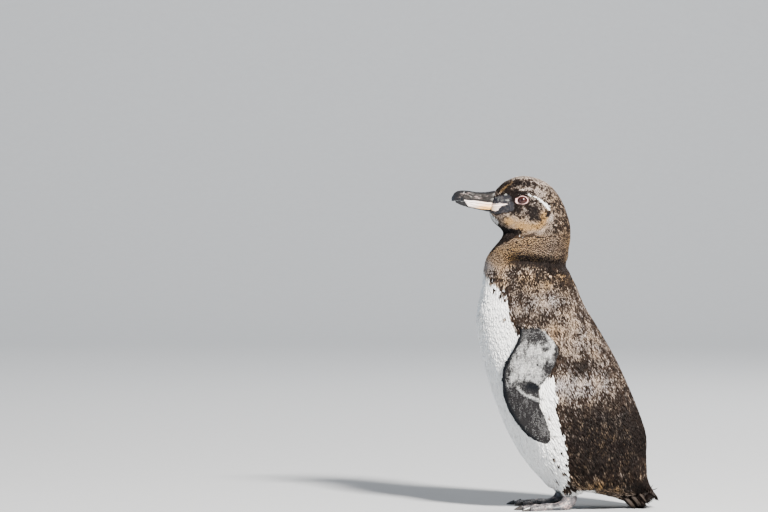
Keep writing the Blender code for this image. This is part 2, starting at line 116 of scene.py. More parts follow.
def awayFrom(line, x, z):
    # distance in mm from a line of points in the side view
    best = np.full(len(x), 1e9)
    for (ax, az), (bx, bz) in zip(line[:-1], line[1:]):
        run = np.array([bx - ax, bz - az], float)
        share = np.clip(((x - ax) * run[0] + (z - az) * run[1]) / (run @ run), 0, 1)
        best = np.minimum(best, np.hypot(x - ax - share * run[0], z - az - share * run[1]))
    return best


def furrow(line, x, z, wide):
    # 1 along a line in the side view, falling off softly to both sides
    return np.exp(-(awayFrom(line, x, z) / wide) ** 2)


def stroke(line, x, z, core, reach, rough=0.0):
    # 1 within core of a line in the side view, 0 beyond reach
    return 1 - ramp(awayFrom(line, x, z) + rough, core, reach)


def clouds(points, size, seed=0):
    # soft noise from about -1 to 1, with lumps of that size
    shift = Vector((seed * 7.31, seed * 3.17, seed * 5.71))
    return np.array([noise.noise(Vector(p / size) + shift) for p in points])


def setAttribute(mesh, name, values, domain="POINT"):
    values = np.asarray(values, np.float32)
    kind, field = ("FLOAT", "value") if values.ndim == 1 else ("FLOAT_VECTOR", "vector")
    layer = mesh.attributes.get(name) or mesh.attributes.new(name, kind, domain)
    layer.data.foreach_set(field, values.ravel())


# objects

def newObject(name, mesh):
    made = bpy.data.objects.new(name, mesh)
    bpy.context.scene.collection.objects.link(made)
    return made


def shadeSmooth(mesh):
    mesh.polygons.foreach_set("use_smooth", [True] * len(mesh.polygons))


def nodeCopy(names, swell=0.0):
    # the nodes' meshes in one, with their doubles merged, pushed out by swell
    work = bmesh.new()
    for name in names:
        work.from_mesh(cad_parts[name].data)
    bmesh.ops.remove_doubles(work, verts=work.verts, dist=0.005 * mm)
    work.normal_update()
    for vert, push in [(vert, vert.normal * swell) for vert in work.verts]:
        vert.co += push
    mesh = bpy.data.meshes.new("copy")
    work.to_mesh(mesh)
    work.free()
    return mesh


def evaluatedMesh(piece):
    graph = bpy.context.evaluated_depsgraph_get()
    return bpy.data.meshes.new_from_object(piece.evaluated_get(graph))


def remeshed(mesh, voxel):
    helper = newObject("remeshHelper", mesh)
    modifier = helper.modifiers.new("remesh", "REMESH")
    modifier.mode = "VOXEL"
    modifier.voxel_size = voxel
    modifier.use_smooth_shade = True
    made = evaluatedMesh(helper)
    bpy.data.objects.remove(helper)
    bpy.data.meshes.remove(mesh)
    return made


def surfaceOf(names):
    # the nodes as one surface to search, and the node that owns each face
    points, faces, owners = [], [], []
    for name in names:
        mesh = nodeCopy([name])
        start = len(points)
        points.extend(vert.co.copy() for vert in mesh.vertices)
        faces.extend(tuple(start + k for k in face.vertices) for face in mesh.polygons)
        owners.extend([name] * len(mesh.polygons))
        bpy.data.meshes.remove(mesh)
    return BVHTree.FromPolygons(points, faces), owners


def place(piece, slot, *nodes):
    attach(piece, "root")
    if nodes:
        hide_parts(*nodes)
    return piece


def finishPiece(name, mesh, material, slot, *nodes):
    shadeSmooth(mesh)
    mesh.materials.append(material)
    return place(newObject(name, mesh), slot, *nodes)


# the lines that the body and the flippers follow, in mm

bodyLine = {
    "points": [(-84, 384), (-74, 387), (-64, 388), (-51, 385), (-39, 378), (-29, 366), (-25, 350),
               (-30, 330), (-36, 306), (-34, 270), (-21, 218), (8, 144), (36, 78), (56, 42),
               (74, 29), (101, 17), (128, 3)],       # x, z of the middle, from the face to the tail
    "samples": 90,
    "blend": 13.0,                                   # how far neighbouring samples share a place
}
flipperLine = {
    "points": [(-43, 46, 252), (-36.5, 55.5, 234.5), (-28.5, 62.5, 219), (-26, 65, 204),
               (-31, 66, 190), (-38, 66, 173), (-44, 65, 158), (-44.5, 66, 144), (-40.5, 67.5, 129),
               (-33, 69.5, 114), (-26, 71.5, 101), (-18, 73, 90), (-12.5, 74, 83)],
    "samples": 50,
    "blend": 6.0,
}


def lineSamples(line):
    # even samples along the line, with their directions and distances from its start
    rows = np.array([(p[0], 0.0, p[1]) if len(p) == 2 else p for p in line["points"]], float)
    run = np.concatenate(([0.0], np.cumsum(np.linalg.norm(np.diff(rows, axis=0), axis=1))))
    along = np.linspace(0.0, run[-1], line["samples"])
    spots = np.stack([np.interp(along, run, column) for column in rows.T], axis=1)
    ends = np.stack([np.arange(len(spots) - 1), np.arange(1, len(spots))], axis=1)
    fixed = np.full(len(spots), 0.5)
    fixed[[0, -1]] = 0.0
    spots = smoothed(spots, ends, 6, fixed)
    return spots, unit(np.gradient(spots, axis=0)), along


def follow(points, line, flatten):
    # for each point: how far along the line it lies, the line's direction and the middle there
    spots, heads, along = lineSamples(line)
    offset = points[:, None, :] - spots[None, :, :]
    if flatten:
        offset[:, :, 1] = 0.0
    away = (offset ** 2).sum(axis=2)
    weight = np.exp(-(away - away.min(axis=1, keepdims=True)) / (2 * line["blend"] ** 2))
    weight /= weight.sum(axis=1, keepdims=True)
    return weight @ along, unit(weight @ heads), weight @ spots


# the skin: one closed surface for all the feathered flesh

skinForm = {
    "voxel": 2.3 * mm,
    "swell": 0.35 * mm,              # closes the gaps between the nodes before the remesh
    "smoothRounds": 7,
    "fineAbove": 338 * mm,           # the head is given smaller faces than the rest
    "faceAhead": -48 * mm,           # and the bare face smaller ones again
    "faceAbove": 362 * mm,
    "eyeReach": 13 * mm,             # and so does the skin this near to an eye
    "tailEnds": 58 * mm,             # along the quills' lie
    "tailShorten": 0.6,              # the share of what lies beyond that is taken off
    "sinkShare": 0.97,
    "coatDepth": {                   # how far the skin lies inside the solids, in mm
        "face": 0.15, "head": 0.5, "neck": 0.9, "collar": 1.1,
        "trunk": 1.6, "rump": 2.2, "tail": 1.5, "flipper": 0.55,
    },
}
tailLie = np.array([0.66, 0.0, -0.75])
fleshNodes = ["head", "neck", "breast", "belly", "rump", "tail", "shank_left", "shank_right",
              "flipper_arm_left", "flipper_arm_right", "flipper_blade_left", "flipper_blade_right"]
eyeForm = {
    "radius": 7.4,
    "out": (-0.13, 0.975, 0.18),     # the eye looks out, a little ahead and up
    "opening": (5.9, 4.5),           # half width and half height of what the lids leave open
    "lidReach": (7.05, 5.3),         # half width and half height of the bare ring
    "openCorner": 1.06,              # the front corner of the opening is drawn out by this share
    "corner": 1.30,                  # and that of the bare ring by this one
    "lidThick": 0.75,
    "lidSteps": 72,
    "lidProfile": [                  # share of the way out, height in lid thicknesses
        (-0.14, -1.6), (-0.03, -0.15), (0.0, 0.35), (0.08, 0.8), (0.22, 1.0),
        (0.42, 0.8), (0.66, 0.62), (0.88, 0.40), (1.02, -0.1), (1.12, -1.4),
    ],
}


def eyePlaces():
    # centre and outward direction of each eye, in metres
    places = {}
    for side, sign in sides.items():
        low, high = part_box("eye_" + side)
        out = np.array(eyeForm["out"]) * (1, sign, 1)
        places[side] = (np.array((low + high) / 2), unit(out))
    return places


eyes = eyePlaces()


def eyeAxes(side):
    # out of the head, forwards and upwards, seen from that eye
    centre, out = eyes[side]
    up = unit(np.array([0.0, 0.0, 1.0]) - out * out[2])
    forward = np.cross(up, out)
    if forward[0] > 0:
        forward = -forward
    return centre, out, forward, up


def eyeOval(points, side, edge, corner="corner"):
    # 1 on that edge round the eye, less inside it
    size = eyeForm[edge]
    centre, out, forward, up = eyeAxes(side)
    offset = points - centre
    ahead, above = offset @ forward / mm, offset @ up / mm
    drawn = np.where(ahead > 0, size[0] * eyeForm[corner] ** ramp(ahead / size[0], 0.2, 1.0), size[0])
    reach = np.hypot(ahead / drawn, above / size[1])
    return np.where(offset @ out > 0, reach, 9.0)


def refineHead(mesh):
    low, ahead, lowFace = skinForm["fineAbove"], skinForm["faceAhead"], skinForm["faceAbove"]
    middles = [Vector(centre) for centre, _ in eyes.values()]

    def onHead(co):
        return co.z > low

    def onFace(co):
        if co.z <= lowFace:
            return False
        return co.x < ahead or min((co - middle).length for middle in middles) < skinForm["eyeReach"]

    work = bmesh.new()
    work.from_mesh(mesh)
    for wanted in (onHead, onFace):
        near = [edge for edge in work.edges if all(wanted(vert.co) for vert in edge.verts)]
        bmesh.ops.subdivide_edges(work, edges=near, cuts=1, use_grid_fill=True)
        bmesh.ops.triangulate(work, faces=[face for face in work.faces if len(face.verts) > 4])
    work.to_mesh(mesh)
    work.free()


def nearestNodes(points, names):
    surface, owners = surfaceOf(names)
    return np.array([owners[surface.find_nearest(Vector(p))[2]] for p in points])


def sculptHead(points, normals):
    # the forms of the face, in mm along the skin's normal
    x, y, z = points.T / mm
    onHead = ramp(z, 325, 345)
    side = ramp(np.abs(y), 4.0, 10.0)
    lift = -1.1 * hill(x, z, (-60, 387), (7, 5)) * side              # the bare hollow before the eye
    lift += 0.9 * hill(x, z, (-46, 395.5), (12, 3.2)) * side         # brow
    lift += 1.1 * hill(x, z, (-36, 366), (17, 10)) * side            # cheek
    lift -= 1.2 * hill(x, z, (-22, 378), (7, 9)) * side              # behind the eye
    lift += 0.5 * hill(x, z, (-64, 393), (4, 2.6)) * side
    gape = awayFrom([(-82, 379), (-72, 379.5), (-60, 380.5)], x, z)
    lift += side * (0.5 * np.exp(-((gape - 1.8) / 1.0) ** 2) - 0.7 * np.exp(-(gape / 0.8) ** 2))
    jaw = furrow([(-76, 352), (-62, 346), (-45, 341.5), (-27, 345), (-13, 357)], x, z, 4.0)
    lift -= 2.2 * jaw * ramp(np.abs(y), -2.0, 8.0)
    lift *= onHead
    fold = awayFrom([(-56, 311), (-38, 310), (-20, 307.5), (0, 305), (14, 302.5)], x, z)
    lift -= 2.6 * np.exp(-(fold / 5.0) ** 2) * (1 - 0.6 * ramp(x, -5, 12))
    lift += 1.0 * np.exp(-((fold - 12.0) / 7.0) ** 2) * ramp(z, 306, 315) * (1 - ramp(z, 325, 340))
    return points + normals * (lift * mm)[:, None]


def sculptFlipper(points, normals, onFlipper):
    x, y, z = points.T / mm
    outer = ramp(np.sign(y) * normals[:, 1], 0.1, 0.6) * onFlipper
    lift = -2.6 * hill(x, z, (-29, 158), (9, 6.5))                   # hollow at the wrist
    lift += 1.1 * furrow([(-47, 158), (-35, 146), (-21, 140)], x, z, 3.5)
    lift += 0.8 * hill(x, z, (-38, 190), (14, 16))
    lift -= 0.8 * hill(x, z, (-10, 186), (7, 12))
    lift -= 1.6 * furrow([(-60, 246), (-52, 232), (-46, 217)], x, z, 3.0)
    return points + normals * (lift * outer * mm)[:, None]


def sinkAtEyes(points):
    # under the bare ring the skin turns in behind the eyeball
    for side in sides:
        centre, out, _, _ = eyeAxes(side)
        reach = eyeOval(points, side, "lidReach")
        inside = 1 - ramp(reach, 0.72, 1.0)
        depth = (points - centre) @ out
        target = np.minimum(depth, 5.0 * mm)
        points = points + out[None, :] * ((target - depth) * inside)[:, None]
    return points


def lidRing(side, surface):
    # the bare ring: rounded at the eye, running out under the feathers
    centre, out, forward, up = eyeAxes(side)
    radius, thick, steps = eyeForm["radius"], eyeForm["lidThick"], eyeForm["lidSteps"]
    profile, drawnIn, drawnOut = eyeForm["lidProfile"], eyeForm["openCorner"], eyeForm["corner"]
    inner, outer = np.array(eyeForm["opening"]), np.array(eyeForm["lidReach"])
    points, faces = [], []
    for k in range(steps):
        turn = 2 * math.pi * k / steps
        heading = np.array([math.cos(turn), math.sin(turn)])
        ahead = max(0.0, heading[0]) ** 6
        wrinkle = 1 + 0.025 * math.sin(9 * turn) + 0.02 * math.sin(23 * turn + 1)
        drawn = 1 + (drawnOut - 1) * ahead
        edge = centre + (forward * heading[0] * outer[0] * drawn + up * heading[1] * outer[1]) * mm
        hit = surface.ray_cast(Vector(edge + out * 0.03), Vector(-out))[0]
        skinHigh = (np.array(hit) - centre) @ out / mm if hit else 4.0
        for share, height in profile:
            size = inner + (outer - inner) * share
            drawn = 1 + (drawnIn - 1 + (drawnOut - drawnIn) * share) * ahead
            flat = np.array([heading[0] * size[0] * drawn, heading[1] * size[1]])
            flat *= wrinkle if 0.3 < share < 1 else 1
            onBall = math.sqrt(max(radius ** 2 - flat @ flat, 1.0))
            high = onBall + (skinHigh - onBall) * float(ramp(share, 0.15, 0.95)) + height * thick
            if 0.0 < share < 1.1:
                high = max(high, onBall + 0.12 + 0.45 * float(ramp(share, 0.0, 0.3)))
            points.append(centre + (forward * flat[0] + up * flat[1] + out * high) * mm)
    rows = len(profile)
    for k in range(steps):
        here, after = k * rows, (k + 1) % steps * rows
        for row in range(rows):
            above = (row + 1) % rows
            faces.append((here + row, after + row, after + above, here + above))
    return points, faces


def addLids(mesh, surface):
    work = bmesh.new()
    work.from_mesh(mesh)
    for side in sides:
        points, faces = lidRing(side, surface)
        verts = [work.verts.new(point) for point in points]
        made = [work.faces.new([verts[k] for k in face]) for face in faces]
        bmesh.ops.recalc_face_normals(work, faces=made)
    work.to_mesh(mesh)
    work.free()


def coatDepths(points, owners):
    x, _, z = points.T / mm
    deep = skinForm["coatDepth"]
    depth = np.full(len(points), deep["trunk"])
    depth += (deep["rump"] - depth) * (1 - ramp(z, 60, 115)) * ramp(x, 0, 40)
    depth += (deep["collar"] - depth) * ramp(z, 215, 255)
    depth += (deep["neck"] - depth) * ramp(z, 275, 305)
    depth += (deep["head"] - depth) * ramp(z, 325, 350)
    bare = (1 - ramp(x, -74, -56)) * ramp(z, 352, 362)
    depth += (deep["face"] - depth) * bare
    depth += (deep["tail"] - depth) * ramp(x, 95, 115) * (1 - ramp(z, 30, 45))
    wing = np.char.startswith(owners, "flipper").astype(float)
    return depth + (deep["flipper"] - depth) * wing


def shortenTail(points, owners):
    # the quills alone reach on to the tail's end
    along = points @ tailLie
    over = np.maximum(along - skinForm["tailEnds"], 0) * (owners == "tail")
    return points - tailLie * (over * skinForm["tailShorten"])[:, None]


def makeSkin():
    print("skin")
    mesh = remeshed(nodeCopy(fleshNodes, skinForm["swell"]), skinForm["voxel"])
    owners = nearestNodes(coordsOf(mesh), fleshNodes)
    thin = np.char.startswith(owners, "flipper") | (owners == "tail")
    edges = edgesOf(mesh)
    softness = smoothed(np.where(thin, 0.12, 0.55), edges, 3)
    points = smoothed(coordsOf(mesh), edges, skinForm["smoothRounds"], softness)
    setCoords(mesh, points)
    depth = smoothed(coatDepths(points, owners), edges, 8)
    sink = (depth * mm + skinForm["swell"]) * skinForm["sinkShare"]
    points = points - normalsOf(mesh) * sink[:, None]
    points = shortenTail(points, owners)
    setCoords(mesh, points)
    refineHead(mesh)
    points, edges = coordsOf(mesh), edgesOf(mesh)
    softness = 0.5 * ramp(points[:, 2], 325 * mm, 340 * mm)
    setCoords(mesh, smoothed(points, edges, 3, softness))
    owners = nearestNodes(coordsOf(mesh), fleshNodes)
    wing = smoothed(np.char.startswith(owners, "flipper").astype(float), edges, 3)
    points = sculptHead(coordsOf(mesh), normalsOf(mesh))
    points = sculptFlipper(points, normalsOf(mesh), wing)
    setCoords(mesh, points)
    surface = BVHTree.FromPolygons([Vector(p) for p in points], [tuple(f.vertices) for f in mesh.polygons])
    setCoords(mesh, sinkAtEyes(points))
    addLids(mesh, surface)
    shadeSmooth(mesh)
    return mesh, nearestNodes(coordsOf(mesh), fleshNodes)


skinMesh, skinOwners = makeSkin()
print("skin faces", len(skinMesh.polygons))


# markings: masks from 0 to 1 on the skin, which the coat takes over at each feather's root

markings = {
    "breastEdge": [(-100, 302), (-86, 299), (-76, 295), (-68, 289), (-63, 281), (-61, 270), (-60, 260),
                   (-58, 250), (-56, 241), (-52, 229), (-46, 216), (-25, 190), (-6, 169), (-3, 147),
                   (-5, 135), (-2, 122), (1, 110), (6, 97), (9, 85), (11, 72), (12, 54), (10, 35), (2, 18)],
    "breastSpots": [(-71, 285), (-76, 278), (-68, 280), (-64.5, 274), (-70, 271.5), (-65, 267.5), (-66, 243),
                    (-73, 291)],
    "armpit": [(-59, 250), (-53, 238), (-46.5, 226), (-45, 217)],
    "flankSpots": [(-12, 124), (-5, 84), (-6, 69), (0, 62), (9, 64), (7, 51), (-2, 40), (3, 78), (-8, 98)],
    "spotSize": 2.0,
    "faceLine": [(-35.5, 392.6), (-29, 391.0), (-24, 388.4), (-19.5, 385.2), (-15, 381.6), (-11.8, 378.2),
                 (-9.5, 375)],
    "faceLineWide": [0.5, 0.7, 0.9, 1.3, 2.0, 2.3, 1.3],
    "throatLine": [(-9, 363.5), (-15, 353.7), (-22.5, 347.2), (-35, 342.8), (-47.5, 341.0), (-60, 337),
                   (-69, 330.5)],
    # in front of this line the front of the neck under the chin is painted dark as shade
    "throatFrontShade": [(-46, 344), (-51, 340), (-60, 335.5), (-69, 330), (-79.5, 318.5), (-84, 309)],
    "crownDark": [(-72, 397.5), (-66, 402.5), (-57, 406.5), (-42, 406), (-30, 403.5)],
    "crownPale": [(-56, 411.5), (-42, 413), (-28, 410.5), (-18, 406)],
    "browPale": [(-46, 399.5), (-35, 400), (-25, 397.5), (-17, 393)],
    "foreheadPale": [(-69.5, 395), (-63, 401), (-56, 407)],
    # under the cheek: dark plumage and a painted shadow under the jaw
    "throatDarkAndShadow": [(-75, 352), (-65, 348.5), (-50, 347.5), (-42, 348.5)],
    "chinPale": [(-83, 368), (-79, 363), (-73.5, 357.5)],
    # the fold of the neck, below which a painted shadow darkens the coat
    "neckFoldShadow": [(-60, 317), (-52, 316), (-38, 314.5), (-23, 312), (-5, 309.5), (8, 307), (16, 304)],
    "flipperEdge": [(-56, 243.5), (-48, 226), (-50, 212), (-58.5, 197), (-67.3, 177), (-68.5, 161.6),
                    (-65, 139), (-55, 117.5), (-42, 101), (-26, 87.5), (-14, 83)],
}
# soft patches: place and reach in the side view, then what each adds to dark, tips and warm
trunkPatches = [
    # painted sheen: the saddle behind the flipper and the upper back get more pale tips, partly the feathers'
    # own and partly standing in for the sun's sheen
    ((10, 160), (42, 14), (-0.15, 0.32, -0.25)),       # bright saddle behind the flipper
    ((20, 208), (50, 26), (-0.10, 0.10, 0.0)),
    ((-14, 264), (24, 9), (-0.10, 0.20, -0.10)),       # shoulder
    ((-20, 290), (50, 12), (0.25, -0.04, 0.40)),       # collar under the fold
    ((-30, 240), (17, 8), (0.30, -0.18, 0.0)),         # shade above the flipper
    ((-4, 222), (12, 20), (-0.10, 0.10, 0.45)),        # tawny edge along the flipper
    ((28, 186), (17, 11), (0.40, -0.25, -0.1)),        # smoky patch on the back
    ((54, 112), (42, 24), (0.65, -0.48, 0.10)),        # dark lower back
    ((62, 76), (62, 34), (0.70, -0.48, 0.30)),
    ((56, 34), (26, 13), (0.0, 0.14, 0.45)),           # golden streaks at the bottom of the rump
    ((108, 40), (8, 20), (0.2, 0.0, 0.1)),
    ((92, 120), (9, 40), (0.15, 0.0, -0.2)),           # the rim of the back is greyer
]
headPatches = [
    ((-30, 372), (7.5, 8.0), (0.60, -0.36, -0.1)),     # behind the eye
    ((-25, 364), (6, 5), (0.55, -0.32, 0.1)),
    ((-46, 357.5), (13, 8), (-0.7, 0.60, 0.55)),       # cheek
    ((-38, 353), (10, 5), (-0.4, 0.40, 0.6)),
    ((-15.5, 365.5), (5.5, 8), (-0.4, 0.30, 1.1)),     # ear
    ((-22, 354), (9, 5), (-0.4, 0.30, 0.9)),
    ((-60.5, 360), (6, 5.0), (-0.2, 0.40, 0.8)),       # below the gape
    ((-10.8, 368.9), (2.3, 2.5), (1.6, -1.2, -0.5)),
    ((-6.5, 366), (2.6, 4.5), (-0.5, 0.8, -0.2)),
    ((-4, 385), (9, 14), (0.1, 0.0, 0.25)),
    ((-44, 395), (13, 3.0), (0.6, -0.40, -0.1)),       # under the brow
    ((-62, 399), (8, 8), (0.6, -0.30, 0.2)),           # forehead
    ((-51, 386), (7, 9), (0.8, -0.55, 0.0)),           # dark round the front of the eye
    ((-53, 373), (7, 6), (0.6, -0.42, 0.0)),
]


def sideWhite(x, z):
    # white in front of the edge line, with the edge read off at each height
    line = np.array(markings["breastEdge"][::-1], float)
    edge = np.interp(z, line[:, 1], line[:, 0])
    return edge - x


def faceStripe(x, z, rough):
    line, wide = markings["faceLine"], markings["faceLineWide"]
    stripe = np.zeros(len(x))
    for k in range(len(line) - 1):
        reach = (wide[k] + wide[k + 1]) / 2
        stripe = np.maximum(stripe, stroke(line[k:k + 2], x, z, reach * 0.4, reach * 1.5, 1.1 * rough))
    return stripe


def nearLine(name, x, z, core, reach):
    return stroke(markings[name], x, z, core, reach)


def addMarks(masks, where, dark=0.0, tips=0.0, warm=0.0):
    for name, amount in (("dark", dark), ("tips", tips), ("warm", warm)):
        masks[name] += amount * where


def moveMarks(masks, where, **goals):
    # each named mask moves towards its goal
    for name, goal in goals.items():
        masks[name] += (goal - masks[name]) * where


def addPatches(masks, patches, x, z, share):
    for centre, reach, (dark, tips, warm) in patches:
        addMarks(masks, hill(x, z, centre, reach) * share, dark, tips, warm)


def whiteParts(x, y, z, normals, rough, fine):
    ahead = sideWhite(x + 2.2 * fine, z + 2.0 * rough)
    white = ramp(ahead, -2.0, 2.0) * (1 - ramp(z + 4 * fine, 292, 302))
    under = 1 - ramp(x + 3 * fine, 34, 46)
    white = np.where(z < 30, np.maximum(white, under * ramp(-normals[:, 2], 0.3, 0.6)), white)
    mixing = ramp(z, 258, 300) * (1 - ramp(ahead, 4, 24)) * ramp(np.abs(y), 5, 16)
    white = white * (1 - (1.0 + 0.7 * fine) * mixing)
    spots = np.zeros(len(x))
    for sx, sz in markings["breastSpots"] + markings["flankSpots"]:
        spots = np.maximum(spots, 1 - ramp(np.hypot(x - sx, z - sz) + fine, 1.4, markings["spotSize"] + 1.0))
    spots = np.maximum(spots, nearLine("armpit", x, z, 0.8, 2.6))
    return white * (1 - spots * ramp(np.abs(y), 12, 24))


def onWing(points, owners):
    # the flipper's own scales begin a little below the shoulder
    return np.char.startswith(owners, "flipper") & (points[:, 2] / mm < 232 + 6 * clouds(points, 6 * mm, 16))


def markBody(masks, x, z, normals, points, fine):
    neck = ramp(z, 296, 318)
    addPatches(masks, trunkPatches, x, z, 1 - neck)
    masks["tips"] = np.maximum(masks["tips"], 0.20 + 0.13 * fine)
    strands = clouds(points * (1, 1, 0.3), 4.5 * mm, 18) * (1 - neck)
    low = hill(x, z, (56, 34), (30, 14))
    addMarks(masks, strands, tips=0.22 + 0.30 * low, dark=-(0.18 + 0.25 * low))
    rear = ramp(normals[:, 0], 0.45, 0.9) * ramp(z, 60, 90) * (1 - ramp(z, 230, 270))
    addMarks(masks, rear, tips=-0.16, dark=0.16)


def markNeck(masks, x, z, neck, rough, fine):
    moveMarks(masks, neck, tips=0.95 + 0.2 * rough, dark=0.35,
              warm=0.80 + 0.3 * rough - 0.42 * ramp(x, -45, 10))
    # painted shadow under the fold where the neck bulges over the shoulders, with darker feathers there too:
    # darker, with fewer pale tips
    line = np.array(markings["neckFoldShadow"], float)
    below = np.interp(x, line[:, 0], line[:, 1]) + 4.0 - z + 2.5 * fine      # a vane shows below its root
    fold = ramp(below, -11.0, 3.0) * (1 - ramp(below, 3.0, 21.0))
    fold = fold * ramp(x, -66, -44) * (1 - 0.3 * ramp(x, -4, 12))
    addMarks(masks, fold, dark=0.85, tips=-0.50)
    addMarks(masks, hill(x, z, (-86, 309), (9, 10)), tips=0.4, warm=-0.4)


def markThroat(masks, x, z, fine, side):
    # the dark throat, dark plumage with painted shadow under the jaw and on the front of the neck, and its
    # pale band; the band less the dark throat is given back for the white marks
    crown, pale = nearLine("crownDark", x, z, 1.0, 6.0), nearLine("crownPale", x, z, 1.0, 6.0)
    brow, darkThroatAndShade = nearLine("browPale", x, z, 1.0, 5.5), nearLine("throatDarkAndShadow", x, z, 0.6, 5.5)
    streak = nearLine("foreheadPale", x, z, 0.6, 2.2) * side
    front = np.array(markings["throatFrontShade"][::-1], float)
    inFront = np.interp(z, front[:, 1], front[:, 0]) - x + 1.5 * fine
    # painted shade on the front of the neck under the chin
    shaded = ramp(inFront, -1.0, 1.5) * ramp(z, 317, 327) * (1 - ramp(z, 346, 352))
    darkThroatAndShade = np.maximum(darkThroatAndShade * (0.75 + 0.5 * fine), shaded)
    masks["dark"] += 0.45 * crown + 1.1 * darkThroatAndShade - 0.3 * brow
    masks["tips"] += 0.10 * pale + 0.22 * brow * side - 0.28 * crown - 0.85 * darkThroatAndShade + 0.45 * streak
    masks["warm"] += 0.5 * streak
    band = nearLine("throatLine", x, z, 1.0, 5.0)
    addMarks(masks, band * (1 - darkThroatAndShade), tips=0.8)
    addMarks(masks, band, warm=-0.15, dark=-0.3)
    return band * (1 - darkThroatAndShade)


def markSkin(mesh, owners):
    print("markings")
    points, normals = coordsOf(mesh), normalsOf(mesh)
    x, y, z = points.T / mm
    side = ramp(np.abs(y), 4, 10)
    wing = onWing(points, owners).astype(float)
    rough, fine = clouds(points, 14 * mm, 1), clouds(points, 4.5 * mm, 2)
    blotch = clouds(points, 8 * mm, 3)
    neck, head = ramp(z, 296, 318), ramp(z, 340, 350)

    masks = {
        "dark": 0.45 + 0.28 * blotch,
        "tips": 0.37 + 0.24 * rough + 0.18 * fine,
        "warm": 0.30 + 0.35 * rough,
    }
    markBody(masks, x, z, normals, points, fine)
    markNeck(masks, x, z, neck, rough, fine)
    moveMarks(masks, head, tips=0.44 + 0.25 * fine, dark=0.55, warm=0.30)
    addMarks(masks, hill(x, z, (12, 335), (13, 52)), tips=-0.32, warm=0.35)      # the nape is browner
    addPatches(masks, headPatches, x, z, side * ramp(z, 330, 345))
    band = markThroat(masks, x, z, fine, side)
    addMarks(masks, ramp(x, 86, 98) * (1 - ramp(z, 34, 48)), tips=-0.7, dark=0.4)
    mottle = clouds(points, 3.0 * mm, 14) * side * head
    addMarks(masks, mottle, tips=0.55, dark=-0.35)

    white = whiteParts(x, y, z, normals, rough, fine) * (1 - wing)
    flecks = np.clip(0.22 + 0.32 * mottle, 0, 0.40)
    for marked in (
        faceStripe(x, z, clouds(points, 2.2 * mm, 12)) * side * (1 - wing),
        nearLine("chinPale", x, z, 0.6, 4.0) * 0.62,
        flecks * hill(x, z, (-50, 358), (15, 8)) * side,
        (0.20 + 0.30 * fine) * band * side * ramp(x, -70, -38),
    ):
        white = np.maximum(white, marked)
    # paler bare skin: a painted highlight on the lores, the horn grey beside the bill, and a thin paler
    # streak across the lores
    shineAndGrey = 0.9 * hill(x, z, (-62, 392.4), (3.2, 1.8)) + 0.50 * hill(x, z, (-73, 387), (7, 5))
    shineAndGrey += 0.55 * hill(x, z, (-59, 385), (8, 1.5))
    made = {"white": white, **masks, "scallop": neck * (1 - head) + 0.3 * head, "bareShineAndGrey": shineAndGrey,
            "cream": hill(x, z, (-83, 374), (7, 5))}
    for name, values in made.items():
        setAttribute(mesh, name, np.clip(values, 0, 1))
    markFlippers(mesh, x, y, z, wing, normals, blotch, fine)
    setAttribute(mesh, "bare", bareFace(points))
    setAttribute(mesh, "pinkness", pinkness(points))
    setAttribute(mesh, "gape", gapePale(x, z) * side)


def bareFace(points):
    # where the face has skin and no feathers: between bill and eye, under the gape, round the eye
    x, y, z = points.T / mm
    rough = 1.6 * clouds(points, 3.5 * mm, 6)
    lores = stroke([(-84, 377), (-74, 383), (-62, 386.5)], x, z, 5.5, 7.5, rough)
    corner = stroke([(-78, 371.5), (-64, 372.5), (-56, 375.5)], x, z, 3.0, 4.6, rough)
    joined = stroke([(-80, 377), (-66, 378.5), (-57, 380)], x, z, 3.6, 5.2, rough)
    bare = np.maximum(np.maximum(lores * (1 - ramp(x, -55, -50)), corner), joined)
    bare = bare * ramp(np.abs(y), 1.0, 3.0)
    for side in sides:
        bare = np.maximum(bare, 1 - ramp(eyeOval(points, side, "lidReach"), 1.0, 1.12))
    return bare


def pinkness(points):
    pink = np.zeros(len(points))
    for side in sides:
        inner = ramp(eyeOval(points, side, "opening", "openCorner"), 1.01, 1.09)
        pink = np.maximum(pink, inner * (1 - ramp(eyeOval(points, side, "lidReach"), 0.98, 1.16)))
    return pink


def gapePale(x, z):
    # the pale corner of the mouth runs on from the bill and tapers towards the eye
    top = np.interp(x, [-84, -76, -70, -60], [381.6, 381.0, 381.8, 380.8])
    low = np.interp(x, [-84, -79, -75, -71, -68, -60], [373.4, 371.8, 370.8, 372.4, 377.4, 379.6])
    away = np.minimum(np.minimum(top - z, z - low), (-59.5 - x) * 0.5)
    return np.clip(0.5 + (away - 2.2 * hill(x, z, (-71.5, 375.0), (1.6, 1.4)) - 0.4) / 3.0, 0, 1)


